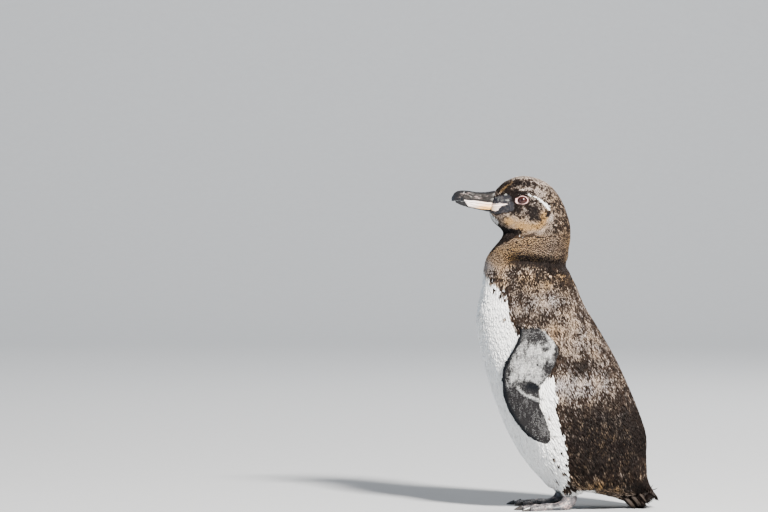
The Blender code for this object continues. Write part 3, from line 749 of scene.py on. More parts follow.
def markFlippers(mesh, x, y, z, wing, normals, blotch, fine):
    # pale upper part with dark blotches, dark blade with pale rows, a dark leading edge, and painted shadow
    # in the hollow at the wrist
    outer = ramp(np.sign(y) * normals[:, 1], -0.2, 0.3)
    streak = clouds(coordsOf(mesh) * (1, 1, 0.22), 2.4 * mm, 13)
    pale = ramp(z + 5 * blotch, 150, 168) * (1 - 0.85 * ramp(z + 7 * blotch + 4 * fine, 203, 225))
    pale *= 0.38 + 0.20 * blotch + 0.30 * streak
    for centre, reach, amount in (
        ((-38, 205), (6, 9), 0.10), ((-22, 202), (8, 6), 0.26), ((-9, 197), (6, 6), 0.24),
        ((-38, 178), (14, 8), 0.24), ((-52, 170), (5, 5), 0.22), ((-30, 165), (8, 3), 0.22),
        ((-15.6, 203), (2.6, 2.6), -0.8), ((-30, 218), (10, 8), -0.20), ((-12, 180), (8, 7), -0.12),
        ((0, 192), (5, 14), -0.5), ((-62, 176), (5, 14), -0.30), ((-10, 178), (8, 10), -0.25),
    ):
        pale += amount * hill(x, z, centre, reach)
    pale += 0.35 * stroke([(-20, 228), (-12, 219), (-5, 207), (-4, 200)], x, z, 0.5, 3.5, fine)
    ridge = stroke([(-49, 156), (-39, 146.5), (-22, 139.5)], x, z, 0.6, 3.0, fine)
    above = stroke([(-36, 168.5), (-26, 162.5), (-18, 156)], x, z, 0.4, 2.6, fine)
    pale = np.maximum(pale, np.maximum(ridge * 0.62, above * 0.85))
    # painted shadow in the hollow where the flipper bends at the wrist; it dims the pale and is drawn with
    # the rim's near-black
    wristShadow = hill(x, z, (-30, 156.5), (10.5, 5.0))
    pale *= 1 - np.clip(1.5 * wristShadow * (1 - 0.8 * above), 0, 1)
    line = np.array(markings["flipperEdge"][::-1], float)
    lead = np.interp(z, line[:, 1], line[:, 0])
    rim = 1 - ramp(x - lead + fine, 3.2, 6.6)
    pale *= 1 - rim
    rows = 0.04 + 0.4 * blotch + 0.9 * streak + 0.65 * hill(x, z, (-20, 108), (14, 26))
    rows += 0.35 * hill(x, z, (-48, 142), (12, 14)) + 0.3 * ramp(z, 150, 175)
    inner = 1 - outer
    setAttribute(mesh, "wing", wing)
    setAttribute(mesh, "pale", np.clip(pale * outer + 0.75 * inner, 0, 1))
    turned = ramp(np.sign(y) * normals[:, 1], -0.9, -0.3)
    # the rim mark: the dark leading edge, and the painted shadow in the wrist hollow
    setAttribute(mesh, "rim", np.clip(np.maximum(rim * turned, 1.5 * wristShadow * outer * (1 - above)), 0, 1))
    setAttribute(mesh, "rows", np.clip(rows * outer, 0, 1))


def frameSkin(mesh, owners):
    # the lie of the coat, and the place of each corner on an unwrap of the skin
    points, normals = coordsOf(mesh), normalsOf(mesh)
    x, y, z = points.T / mm
    folded = np.stack([x, np.abs(y), z], axis=1)
    along, heads, middle = follow(folded, bodyLine, True)
    wing = np.char.startswith(owners, "flipper")
    along[wing], wingHeads, wingMiddle = follow(folded[wing], flipperLine, False)
    heads[wing] = wingHeads * np.stack([np.ones(wing.sum()), np.sign(y[wing]), np.ones(wing.sum())], axis=1)
    onTail = (owners == "tail")[:, None]
    hang = np.where(onTail, np.array([0.93, 0.0, -0.36]), np.array([0.36, 0.0, -0.93]))
    rear = (ramp(x, 84, 98) * (1 - ramp(z, 38, 60)))[:, None]
    hang = hang + (tailLie - hang) * rear
    low = (ramp(x, 22, 40) * (1 - ramp(z, 85, 120)) * (1 - wing))[:, None]
    heads = heads + (hang - heads) * low
    shank = np.char.startswith(owners, "shank")
    heads[shank] = (-0.15, 0.0, -1.0)
    heads = smoothed(heads, edgesOf(mesh), 4)
    lie = unit(heads - normals * (heads * normals).sum(axis=1, keepdims=True))
    setAttribute(mesh, "lie", lie)
    front = np.stack([heads[:, 2], -heads[:, 0]], axis=1)
    ahead = (x - middle[:, 0]) * front[:, 0] + (z - middle[:, 2]) * front[:, 1]
    turn = np.arctan2(y, ahead)
    turn[wing] = np.arctan2(np.abs(y[wing]) - wingMiddle[:, 1], x[wing] - wingMiddle[:, 0])
    around = np.hypot(ahead, y)
    around[wing] = 24.0
    return along, turn, around


skinAlong, skinTurn, skinAround = frameSkin(skinMesh, skinOwners)
markSkin(skinMesh, skinOwners)


def storeUnwrap(mesh, along, turn, around, cut):
    # developed flat round the line it follows, opened along the turn called cut
    loops = columnsOf(mesh.loops, "vertex_index", 1, np.int32)
    counts = columnsOf(mesh.polygons, "loop_total", 1, np.int32)
    owner = np.repeat(np.arange(len(counts)), counts)
    base = turn - cut
    face = np.arctan2(np.bincount(owner, np.sin(base[loops])), np.bincount(owner, np.cos(base[loops])))
    face = np.mod(face, 2 * math.pi)
    corner = base[loops] - face[owner]
    corner = face[owner] + (corner + math.pi) % (2 * math.pi) - math.pi
    across = (corner - math.pi) * around[loops]
    spot = np.stack([across, along[loops], np.zeros(len(loops))], axis=1)
    setAttribute(mesh, "rootUv", spot, "CORNER")


storeUnwrap(skinMesh, skinAlong, skinTurn, skinAround, math.pi * 0.5)


# shader helpers

def addNode(tree, kind, inputs=(), **settings):
    made = tree.nodes.new(kind)
    for name, value in settings.items():
        setattr(made, name, value)
    for name, value in dict(inputs).items():
        socket = made.inputs[name]
        if isinstance(value, bpy.types.NodeSocket):
            tree.links.new(value, socket)
        else:
            socket.default_value = value
    return made


def maths(tree, operation, first, second=0.0, clamp=False):
    made = addNode(tree, "ShaderNodeMath", {0: first, 1: second}, operation=operation)
    made.use_clamp = clamp
    return made.outputs[0]


def plus(tree, first, second):
    return maths(tree, "ADD", first, second)


def minus(tree, first, second, clamp=False):
    return maths(tree, "SUBTRACT", first, second, clamp)


def times(tree, first, second):
    return maths(tree, "MULTIPLY", first, second)


def swing(tree, value, amount):
    # how far the value lies from a half, times the amount
    return times(tree, minus(tree, value, 0.5), amount)


def between(tree, first, second, share):
    return plus(tree, first, times(tree, share, minus(tree, second, first)))


def noiseOf(tree, point, scale, detail):
    made = addNode(tree, "ShaderNodeTexNoise", {"Vector": point, "Scale": scale, "Detail": detail})
    return made.outputs[0]


def pointOf(tree):
    return addNode(tree, "ShaderNodeTexCoord").outputs["Object"]


def stretched(tree, point, scale):
    return addNode(tree, "ShaderNodeMapping", {"Vector": point, "Scale": scale}).outputs[0]


def combined(tree, parts):
    return addNode(tree, "ShaderNodeCombineXYZ", parts).outputs[0]


def stepped(tree, value, low, high, outLow=0.0, outHigh=1.0):
    made = addNode(tree, "ShaderNodeMapRange", {"Value": value, "From Min": low, "From Max": high,
                                                "To Min": outLow, "To Max": outHigh})
    made.interpolation_type = "SMOOTHSTEP"
    return made.outputs[0]


def mixed(tree, share, first, second, blend="MIX"):
    made = addNode(tree, "ShaderNodeMix", data_type="RGBA", blend_type=blend)
    for socket, value in zip((made.inputs[0], made.inputs[6], made.inputs[7]), (share, first, second)):
        if isinstance(value, bpy.types.NodeSocket):
            tree.links.new(value, socket)
        else:
            socket.default_value = value if not isinstance(value, tuple) else (*value, 1.0)[:4]
    return made.outputs[2]


def attributeOf(tree, name, output="Fac"):
    return addNode(tree, "ShaderNodeAttribute", attribute_name=name).outputs[output]


def newGroup(name, inputs, outputs):
    tree = bpy.data.node_groups.new(name, "ShaderNodeTree")
    for socket, kind, value in inputs:
        made = tree.interface.new_socket(name=socket, in_out="INPUT", socket_type="NodeSocket" + kind)
        if value is not None:
            made.default_value = value
    for socket, kind in outputs:
        tree.interface.new_socket(name=socket, in_out="OUTPUT", socket_type="NodeSocket" + kind)
    return tree, tree.nodes.new("NodeGroupInput").outputs, tree.nodes.new("NodeGroupOutput").inputs


def useGroup(tree, group, inputs=()):
    made = tree.nodes.new("ShaderNodeGroup")
    made.node_tree = group
    for name, value in dict(inputs).items():
        if isinstance(value, bpy.types.NodeSocket):
            tree.links.new(value, made.inputs[name])
        else:
            made.inputs[name].default_value = (*value, 1.0) if isinstance(value, tuple) else value
    return made.outputs


def newMaterial(name, **constants):
    material = bpy.data.materials.new(name)
    material.use_nodes = True
    shader = material.node_tree.nodes["Principled BSDF"]
    for socket, value in constants.items():
        shader.inputs[socket.replace("_", " ")].default_value = value
    return material, material.node_tree, shader


def bumped(tree, shader, height, strength, distance):
    bump = addNode(tree, "ShaderNodeBump", {"Height": height, "Strength": strength, "Distance": distance})
    tree.links.new(bump.outputs[0], shader.inputs["Normal"])


# colours shared by the skin and the coat

plumage = {
    "brown": (0.021, 0.012, 0.007),
    "black": (0.005, 0.003, 0.0025),
    "silver": (0.47, 0.43, 0.405),
    # lilac: a tint on some pale tips, painted sheen standing in for the back's iridescence
    "lilacSheen": (0.43, 0.405, 0.435),
    "gold": (0.53, 0.315, 0.125),
    "white": (0.88, 0.88, 0.87),
    "wingDark": (0.016, 0.015, 0.016),
    "wingPale": (0.62, 0.62, 0.61),
    "wingTip": (0.42, 0.42, 0.42),
    # near-black for the dark leading edge and for the painted shadow in the wrist hollow
    "wingRimAndShadow": (0.003, 0.004, 0.006),
    "pink": (0.60, 0.40, 0.37),
    "slate": (0.010, 0.010, 0.013),
    "slateGrey": (0.032, 0.029, 0.030),
    "slateSpeck": (0.10, 0.095, 0.095),
    "slatePaleShine": (0.185, 0.19, 0.18),
    # the pale of the bare face: horn grey and painted highlights
    "gape": (0.66, 0.48, 0.43),
    "gapePale": (0.84, 0.74, 0.70),
    "gapeCream": (0.82, 0.56, 0.30),
    "pinkDeep": (0.50, 0.27, 0.25),
}


def shadeOf(tree, value):
    return addNode(tree, "ShaderNodeCombineColor", {0: value, 1: value, 2: value}).outputs[0]


def plumageTones():
    # body feathers: a dark vane with a pale streak or rim at its tip, or a white one
    tree, given, out = newGroup(
        "Plumage Tones",
        [("White", "Float", 0.0), ("Tips", "Float", 0.5), ("Warm", "Float", 0.2), ("Dark", "Float", 0.3),
         ("Scallop", "Float", 0.0), ("Tone", "Float", 0.5), ("Streak", "Float", 0.5), ("Along", "Float", 0.5),
         ("Across", "Float", 0.5)],
        [("Color", "Color"), ("Pale", "Float")],
    )

    def shaded(colour, value, low, high, outLow, outHigh):
        shade = shadeOf(tree, stepped(tree, value, low, high, outLow, outHigh))
        return mixed(tree, 1.0, colour, shade, "MULTIPLY")

    second = maths(tree, "FRACT", times(tree, given["Tone"], 7.13))
    third = maths(tree, "FRACT", times(tree, given["Tone"], 31.7))
    ground = mixed(tree, given["Dark"], plumage["brown"], plumage["black"])
    ground = shaded(ground, second, 0.0, 1.0, 0.5, 1.5)
    # the tips range from silver to lilac, the lilac being painted iridescent sheen
    tip = mixed(tree, second, plumage["silver"], plumage["lilacSheen"])
    tip = mixed(tree, given["Warm"], tip, plumage["gold"])
    dim = plus(tree, third, times(tree, given["Tips"], 0.9))
    tip = shaded(tip, dim, 0.1, 1.3, 0.20, 1.08)
    tip = shaded(tip, given["Dark"], 0.35, 1.0, 1.0, 0.30)
    share = minus(tree, 0.72, times(tree, given["Scallop"], 1.6), clamp=True)
    drawn = between(tree, given["Tone"], given["Streak"], share)
    wanted = stepped(tree, minus(tree, times(tree, given["Tips"], 1.35), drawn), -0.10, 0.30)
    edge = times(tree, maths(tree, "ABSOLUTE", minus(tree, given["Across"], 0.5)), 2.0)
    streak = times(tree, stepped(tree, edge, 0.20, 0.70, 1.0, 0.0), stepped(tree, given["Along"], 0.45, 0.70))
    rim = stepped(tree, plus(tree, given["Along"], times(tree, edge, 0.16)), 0.80, 0.94)
    amount = times(tree, wanted, between(tree, streak, rim, given["Scallop"]))
    colour = mixed(tree, amount, ground, tip)
    whole = stepped(tree, plus(tree, given["White"], swing(tree, second, 0.5)), 0.42, 0.58)
    whites = shaded(plumage["white"], given["Along"], 0.2, 0.8, 0.82, 1.0)
    tree.links.new(mixed(tree, whole, colour, whites), out["Color"])
    tree.links.new(maths(tree, "MAXIMUM", amount, whole), out["Pale"])
    return tree


def wingTones():
    # flipper scales: pale, dark and rim (the dark leading edge and the painted shadow in the wrist hollow),
    # many with a pale tip
    tree, given, out = newGroup(
        "Wing Tones",
        [("Pale", "Float", 0.0), ("Rim", "Float", 0.0), ("Rows", "Float", 0.3), ("Tone", "Float", 0.5),
         ("Along", "Float", 0.5)],
        [("Color", "Color")],
    )
    second = maths(tree, "FRACT", times(tree, given["Tone"], 7.13))
    shown = plus(tree, given["Pale"], swing(tree, second, 0.30))
    colour = mixed(tree, stepped(tree, shown, 0.10, 0.85), plumage["wingDark"], plumage["wingPale"])
    chosen = stepped(tree, minus(tree, times(tree, given["Rows"], 1.3), given["Tone"]), -0.15, 0.35)
    band = times(tree, stepped(tree, given["Along"], 0.62, 0.86), chosen)
    colour = mixed(tree, times(tree, band, 0.75), colour, plumage["wingTip"])
    tree.links.new(mixed(tree, given["Rim"], colour, plumage["wingRimAndShadow"]), out["Color"])
    return tree


def bareTones():
    # bare skin: slate, paler where the horn grey beside the bill and the painted highlights on the lores are
    # marked, pink round the eye, pale at the gape
    tree, given, out = newGroup(
        "Bare Skin Tones",
        [("Pink", "Float", 0.0), ("Bright", "Float", 0.0), ("Gape", "Float", 0.0), ("Cream", "Float", 0.0),
         ("Point", "Vector", None)],
        [("Color", "Color"), ("Height", "Float")],
    )
    speck = noiseOf(tree, given["Point"], 900.0, 4.0)
    patch = noiseOf(tree, given["Point"], 260.0, 4.0)
    grain = addNode(tree, "ShaderNodeTexVoronoi", {"Vector": given["Point"], "Scale": 1300.0})
    slate = mixed(tree, stepped(tree, patch, 0.45, 0.62), plumage["slate"], plumage["slateGrey"])
    slate = mixed(tree, stepped(tree, speck, 0.55, 0.72, 0.0, 0.4), slate, plumage["slateSpeck"])
    shownShineAndGrey = plus(tree, given["Bright"], swing(tree, patch, 1.2))
    slate = mixed(tree, stepped(tree, shownShineAndGrey, 0.35, 0.80), slate, plumage["slatePaleShine"])
    gape = mixed(tree, stepped(tree, speck, 0.35, 0.65), plumage["gape"], plumage["gapePale"])
    gape = mixed(tree, given["Cream"], gape, plumage["gapeCream"])
    shown = plus(tree, given["Gape"], swing(tree, speck, 0.5))
    colour = mixed(tree, stepped(tree, shown, 0.44, 0.60), slate, gape)
    pink = mixed(tree, stepped(tree, speck, 0.30, 0.62), plumage["pinkDeep"], plumage["pink"])
    tree.links.new(mixed(tree, given["Pink"], colour, pink), out["Color"])
    tree.links.new(grain.outputs[0], out["Height"])
    return tree


toneGroup, wingGroup, bareGroup = plumageTones(), wingTones(), bareTones()
coatMarks = ("white", "tips", "warm", "dark", "scallop")
wingMarks = ("pale", "rim", "rows")


def marksOf(tree, names):
    return {name.capitalize(): attributeOf(tree, name) for name in names}


def vaneSpot(tree):
    # where on its vane a point lies, across and along, both from 0 to 1
    return addNode(tree, "ShaderNodeSeparateXYZ", {0: attributeOf(tree, "vane", "Vector")}).outputs[:2]


def coatMaterial(name, wing=False):
    material, tree, shader = newMaterial(name, Roughness=0.5, Specular_IOR_Level=0.10)
    across, along = vaneSpot(tree)
    tone = attributeOf(tree, "tone")
    if wing:
        made = useGroup(tree, wingGroup, {**marksOf(tree, wingMarks), "Tone": tone, "Along": along})
    else:
        root = stretched(tree, attributeOf(tree, "rootUv", "Vector"), (1.0, 0.10, 1.0))
        streak = stepped(tree, noiseOf(tree, root, 410.0, 2.0), 0.36, 0.64)
        made = useGroup(tree, toneGroup, {**marksOf(tree, coatMarks), "Tone": tone, "Streak": streak,
                                          "Along": along, "Across": across})
    tree.links.new(made["Color"], shader.inputs["Base Color"])
    barbs = times(tree, maths(tree, "ABSOLUTE", minus(tree, across, 0.5)), 0.9)
    wave = maths(tree, "SINE", times(tree, minus(tree, along, barbs), 90.0))
    bumped(tree, shader, wave, 0.35, 0.00008)
    tree.links.new(stepped(tree, tone, 0.0, 1.0, 0.45, 0.66), shader.inputs["Roughness"])
    return material


def skinMaterial():
    material, tree, shader = newMaterial("Skin", Roughness=0.6, Specular_IOR_Level=0.15)
    point = pointOf(tree)
    cells = addNode(tree, "ShaderNodeTexVoronoi", {"Vector": point, "Scale": 380.0})
    tone = addNode(tree, "ShaderNodeSeparateColor", {0: cells.outputs["Color"]}).outputs[0]
    under = times(tree, tone, 0.6)               # mostly the ground colour shows between vanes
    body = useGroup(tree, toneGroup, {**marksOf(tree, coatMarks), "Tone": tone, "Along": under,
                                      "Across": 0.5})
    wing = useGroup(tree, wingGroup, {**marksOf(tree, wingMarks), "Tone": tone, "Along": 0.7})
    bare = useGroup(tree, bareGroup, {**marksOf(tree, ("gape", "cream")), "Point": point,
                                      "Pink": attributeOf(tree, "pinkness"),
                                      "Bright": attributeOf(tree, "bareShineAndGrey")})
    colour = mixed(tree, attributeOf(tree, "wing"), body["Color"], wing["Color"])
    share = attributeOf(tree, "bare")
    tree.links.new(mixed(tree, share, colour, bare["Color"]), shader.inputs["Base Color"])
    tree.links.new(stepped(tree, share, 0.0, 1.0, 0.75, 0.5), shader.inputs["Roughness"])
    bumped(tree, shader, bare["Height"], 0.3, 0.0002)
    return material


# one feather's vane: closed, cupped across and bent along, one long and one wide, root at the origin

def vaneMesh(name, rows, bend):
    points, faces, uvs = [], [], []
    for along, half, rise in rows:
        drop = -bend * along * along
        points += [(-half, along, drop), (0.0, along, drop + rise), (half, along, drop)]
        uvs += [(0.5 - half, along), (0.5, along), (0.5 + half, along)]
    tip = len(points)
    points.append((0.0, 1.0, -bend))
    uvs.append((0.5, 1.0))
    for row in range(len(rows) - 1):
        a, b = row * 3, row * 3 + 3
        faces += [(a, a + 1, b + 1, b), (a + 1, a + 2, b + 2, b + 1), (a + 2, a, b, b + 2)]
    last = tip - 3
    faces += [(last, last + 1, tip), (last + 1, last + 2, tip), (last + 2, last, tip), (2, 1, 0)]
    mesh = bpy.data.meshes.new(name)
    mesh.from_pydata(points, [], faces)
    work = bmesh.new()
    work.from_mesh(mesh)
    bmesh.ops.recalc_face_normals(work, faces=work.faces)
    work.to_mesh(mesh)
    work.free()
    layer = mesh.uv_layers.new(name="vane")
    for loop, spot in zip(mesh.loops, layer.data):
        spot.uv = uvs[loop.vertex_index]
    shadeSmooth(mesh)
    helper = newObject(name, mesh)
    helper.hide_render = True
    return helper


vanes = {
    "body": vaneMesh("vaneBody", [(0.0, 0.16, 0.03), (0.35, 0.42, 0.07), (0.78, 0.40, 0.05)], 0.10),
    "small": vaneMesh("vaneSmall", [(0.0, 0.25, 0.05), (0.60, 0.48, 0.09)], 0.10),
    "long": vaneMesh("vaneLong", [(0.0, 0.22, 0.03), (0.35, 0.46, 0.08), (0.72, 0.44, 0.07),
                                  (0.92, 0.24, 0.04)], 0.06),
    "round": vaneMesh("vaneRound", [(0.0, 0.22, 0.04), (0.55, 0.47, 0.09), (0.84, 0.36, 0.07)], 0.10),
    "scale": vaneMesh("vaneScale", [(0.0, 0.30, 0.04), (0.62, 0.50, 0.10)], 0.03),
    "quill": vaneMesh("vaneQuill", [(0.0, 0.16, 0.06), (0.2, 0.36, 0.12), (0.45, 0.48, 0.13),
                                    (0.7, 0.50, 0.12), (0.88, 0.36, 0.09), (0.96, 0.18, 0.05)], 0.35),
}


# what the two trees that set vanes have in common

def newTree(name, sockets, output):
    # the tree, the identifier of each named input, and the sockets those inputs come in by
    tree = bpy.data.node_groups.new(name, "GeometryNodeTree")
    given = {}
    for socket, kind, value in sockets:
        made = tree.interface.new_socket(name=socket, in_out="INPUT", socket_type="NodeSocket" + kind)
        if value is not None:
            made.default_value = value
        given[socket] = made.identifier
    tree.interface.new_socket(name=output, in_out="OUTPUT", socket_type="NodeSocketGeometry")
    return tree, given, tree.nodes.new("NodeGroupInput").outputs


def inUse(sockets, name=None):
    return [socket for socket in sockets if socket.enabled and name in (None, socket.name)][0]


def named(tree, kind, name):
    made = addNode(tree, "GeometryNodeInputNamedAttribute", {"Name": name}, data_type=kind)
    return inUse(made.outputs, "Attribute")


def chance(tree, seed, low, high, step):
    # a random number for each vane; the step keeps one draw apart from the next
    made = addNode(tree, "FunctionNodeRandomValue", data_type="FLOAT")
    inUse(made.inputs, "Min").default_value = low
    inUse(made.inputs, "Max").default_value = high
    tree.links.new(plus(tree, seed, step), inUse(made.inputs, "Seed"))
    return inUse(made.outputs)


def turnedBy(tree, rotation, angles):
    made = addNode(tree, "FunctionNodeRotateRotation", rotation_space="LOCAL")
    tree.links.new(rotation, made.inputs[0])
    tree.links.new(combined(tree, angles), made.inputs[1])
    return made.outputs[0]


def setVanes(tree, points, vane, rotation, scale):
    model = addNode(tree, "GeometryNodeObjectInfo", {0: vane})
    made = addNode(tree, "GeometryNodeInstanceOnPoints", {
        "Points": points, "Instance": model.outputs["Geometry"], "Rotation": rotation,
        "Scale": combined(tree, scale),
    })
    return made.outputs[0]


def stored(tree, geometry, name, kind, value):
    made = addNode(tree, "GeometryNodeStoreNamedAttribute", {"Geometry": geometry, "Name": name},
                   data_type=kind, domain="INSTANCE")
    tree.links.new(value, inUse(made.inputs, "Value"))
    return made.outputs[0]


def finishTree(tree, geometry, material):
    real = addNode(tree, "GeometryNodeRealizeInstances", {0: geometry})
    finished = addNode(tree, "GeometryNodeSetMaterial", {0: real.outputs[0], "Material": material})
    tree.links.new(finished.outputs[0], tree.nodes.new("NodeGroupOutput").inputs[0])


def runTree(piece, tree, given, settings):
    # the mesh that the tree makes takes the place of the piece's own
    modifier = piece.modifiers.new("vanes", "NODES")
    modifier.node_group = tree
    for socket, value in settings.items():
        modifier[given[socket]] = value
    made = evaluatedMesh(piece)
    piece.modifiers.remove(modifier)
    piece.data = made
    return made


# the tree that sets vanes on the skin: even points, each vane laid along the lie of the coat

def plumageTree():
    tree, given, source = newTree("Lay Plumage", (
        ("Skin", "Geometry", None), ("Vane", "Object", None), ("Vane Material", "Material", None),
        ("Mask", "String", ""), ("Spacing", "Float", 0.002), ("Density", "Float", 1.0e6),
        ("Length", "Float", 0.008), ("Width", "Float", 0.003), ("Lift", "Float", 0.2),
        ("Lift Spread", "Float", 0.05), ("Turn Spread", "Float", 0.15), ("Size Spread", "Float", 0.15),
        ("Seed", "Int", 1),
    ), "Plumage")

    def spreadBy(name, step):
        return times(tree, source[name], chance(tree, source["Seed"], -1.0, 1.0, step))

    spread = addNode(tree, "GeometryNodeDistributePointsOnFaces", {
        "Mesh": source["Skin"], "Distance Min": source["Spacing"], "Density Max": source["Density"],
        "Density Factor": named(tree, "FLOAT", source["Mask"]), "Seed": source["Seed"],
    }, distribute_method="POISSON")
    upright = addNode(tree, "FunctionNodeAlignRotationToVector", {
        "Vector": spread.outputs["Normal"],
    }, axis="Z")
    laid = addNode(tree, "FunctionNodeAlignRotationToVector", {
        "Rotation": upright.outputs[0], "Vector": named(tree, "FLOAT_VECTOR", "lie"),
    }, axis="Y", pivot_axis="Z")
    lift = plus(tree, source["Lift"], spreadBy("Lift Spread", 1))
    turned = turnedBy(tree, laid.outputs[0], {0: lift, 2: spreadBy("Turn Spread", 2)})
    size = times(tree, plus(tree, 1.0, spreadBy("Size Spread", 3)), named(tree, "FLOAT", "vaneSize"))
    long, wide = times(tree, source["Length"], size), times(tree, source["Width"], size)
    coat = setVanes(tree, spread.outputs["Points"], source["Vane"], turned, {0: wide, 1: long, 2: long})
    coat = stored(tree, coat, "tone", "FLOAT", chance(tree, source["Seed"], 0.0, 1.0, 4))
    finishTree(tree, coat, source["Vane Material"])
    return tree, given


plumageNodes, plumageInputs = plumageTree()
patchWide = 0.003                        # each vane's share of the map that the bake uses
boxGap = 0.2 * mm                        # the coat stays this far inside the solids' own box


def bakeMap(mesh):
    # OFBake: the vane's own map, shrunk to a patch at its root's place on the unwrapped skin
    vane = columnsOf(mesh.attributes["vane"].data, "vector", 2)
    root = columnsOf(mesh.attributes["rootUv"].data, "vector", 3)[:, :2]
    loops = columnsOf(mesh.loops, "vertex_index", 1, np.int32)
    low, high = root.min(axis=0), root.max(axis=0)
    root = patchWide + (root - low) / (high - low).max() * (1 - 2 * patchWide)
    patch = root[loops] + (vane - 0.5) * patchWide
    layer = mesh.uv_layers.new(name="OFBake")
    layer.data.foreach_set("uv", patch.astype(np.float32).ravel())


def layCoat(name, mesh, slot, settings):
    piece = newObject(name, mesh)
    made = runTree(piece, plumageNodes, plumageInputs, settings)
    made.name = name
    bakeMap(made)
    setCoords(made, np.clip(coordsOf(made), np.array(cadBox[0]) + boxGap, np.array(cadBox[1]) - boxGap))
    for spare in ("lie", "vaneSize", *[a.name for a in made.attributes if a.name.startswith("mask")]):
        if spare in made.attributes:
            made.attributes.remove(made.attributes[spare])
    triangles = sum(len(face.vertices) - 2 for face in made.polygons)
    print(name, len(made.polygons), "faces", triangles, "triangles")
    return place(piece, slot)


# how large the vanes of each part of the coat are, in mm; it grows where the mask of its name is 1

coats = {
    "CoatFace":   {"vane": "round", "long": 2.5, "wide": 1.15, "space": 0.62, "lift": 0.26},
    "CoatHead":   {"vane": "round", "long": 3.1, "wide": 1.35, "space": 0.82, "lift": 0.26},
    "CoatNeck":   {"vane": "round", "long": 5.0, "wide": 2.4, "space": 1.3, "lift": 0.26},
    "CoatBreast": {"vane": "body", "long": 9.0, "wide": 2.7, "space": 1.55, "lift": 0.235},
    "CoatBelly":  {"vane": "body", "long": 10.0, "wide": 3.0, "space": 1.75, "lift": 0.22},
    "CoatCollar": {"vane": "small", "long": 5.2, "wide": 1.35, "space": 0.85, "lift": 0.255},
    "CoatMantle": {"vane": "small", "long": 7.2, "wide": 1.4, "space": 0.88, "lift": 0.24},
    "CoatBack":   {"vane": "small", "long": 9.0, "wide": 1.65, "space": 1.02, "lift": 0.225},
    "CoatRump":   {"vane": "small", "long": 12.0, "wide": 1.7, "space": 1.08, "lift": 0.185},
    "CoatShanks": {"vane": "body", "long": 6.5, "wide": 2.2, "space": 1.3, "lift": 0.24},
    "CoatTail":   {"vane": "long", "long": 16.0, "wide": 2.8, "space": 1.6, "lift": 0.08},
    "ScalesFlipperLeft":  {"vane": "scale", "long": 2.6, "wide": 1.7, "space": 1.0, "lift": 0.24},
    "ScalesFlipperRight": {"vane": "scale", "long": 2.6, "wide": 1.7, "space": 1.0, "lift": 0.24},
}
coatSpread = {"lift": 0.05, "turn": 0.14, "size": 0.14}


def coatMasks(mesh, owners):
    # 1 where a coat grows; the front and the back of the trunk meet behind the flippers
    points, normals = coordsOf(mesh), normalsOf(mesh)
    x, y, z = points.T / mm
    grown = 1 - np.clip(bareFace(points) * 1.6, 0, 1)
    wing = onWing(points, owners)
    shank = np.char.startswith(owners, "shank")
    tail = owners == "tail"
    body = ~(wing | shank | tail)
    front = sideWhite(x, np.clip(z, 20, 290)) > -4
    tailEnd = normals @ tailLie > 0.5
    tailSide = tail & ((x <= 92) | (np.abs(normals[:, 1]) > 0.55) & ~tailEnd)
    ragged = 5 * clouds(points, 7 * mm, 15)              # so that no border between coats runs straight
    face = body & (z > 350) & (x < -52 + ragged)
    head = body & (z > 343 + ragged) & ~face
    neck = body & (z > 291 + ragged) & ~head & ~face
    low = body & ~neck & ~head & ~face
    collar = low & ~front & (z > 266 + ragged)
    chosen = {
        "maskFace": face, "maskHead": head, "maskNeck": neck,
        "maskBreast": low & front & (z > 178), "maskBelly": low & front & (z <= 178),
        "maskCollar": collar, "maskMantle": low & ~front & ~collar & (z > 195 + ragged),
        "maskBack": low & ~front & (z <= 195 + ragged) & (z > 72 + ragged),
        "maskRump": low & ~front & (z <= 72 + ragged) | tailSide, "maskShanks": shank,
        "maskTail": tail & ~tailSide & ~tailEnd & (normals @ tailLie > -0.35),
        "maskWingLeft": wing & (y < 0), "maskWingRight": wing & (y > 0),
    }
    for name, where in chosen.items():
        setAttribute(mesh, name, where * grown)
    near = 1 - 0.35 * (1 - ramp(x, -82, -58)) * ramp(z, 340, 352)
    lids = np.ones(len(x))
    for side in sides:
        lids = np.minimum(lids, 0.55 + 0.45 * ramp(eyeOval(points, side, "lidReach"), 1.0, 2.2))
    corner = 0.75 + 0.25 * ramp(np.hypot(x - 108, z - 34), 4, 16)     # shorter where the back meets the tail
    flanks = 1 - 0.3 * ramp(np.abs(normals[:, 1]), 0.35, 0.8)
    setAttribute(mesh, "vaneSize", near * lids * np.where(tail & ~tailSide, flanks, corner))


def growCoat(mesh):
    print("coat")
    coatMasks(mesh, skinOwners)
    body, wing = coatMaterial("Feathers"), coatMaterial("FlipperFeathers", wing=True)
    for seed, (name, own) in enumerate(coats.items()):
        flipper = "Flipper" in name
        slot = "flipper_feathers" if flipper else "tail_quills" if "Tail" in name else "feathers"
        space = own["space"] * mm * 1.0
        layCoat(name, mesh, slot, {
            "Vane": vanes[own["vane"]], "Vane Material": wing if flipper else body,
            "Mask": name.replace("ScalesFlipper", "maskWing").replace("Coat", "mask"),
            "Spacing": space, "Density": 4.0 / space ** 2,
            "Length": own["long"] * mm, "Width": own["wide"] * mm, "Lift": own["lift"],
            "Lift Spread": coatSpread["lift"], "Turn Spread": coatSpread["turn"],
            "Size Spread": coatSpread["size"], "Seed": 11 + seed * 17,
        })


growCoat(skinMesh)
finishPiece("Skin", skinMesh, skinMaterial(), "feathers", *fleshNodes)


# bill: two horny halves with grooves between their plates, worn pale in patches

billForm = {
    "voxel": 0.42 * mm,
    "rounds": 3,
    "intoHead": 3.0,                 # the base runs this far on under the face, in mm
    "grooveDeep": 0.6,
    "nostrilDeep": 0.9,
}
billColours = {
    "dark": (0.007, 0.007, 0.008),
    "horn": (0.015, 0.013, 0.012),
    "worn": (0.25, 0.195, 0.185),
    "pale": (0.84, 0.74, 0.70),
    "cream": (0.84, 0.47, 0.16),
}


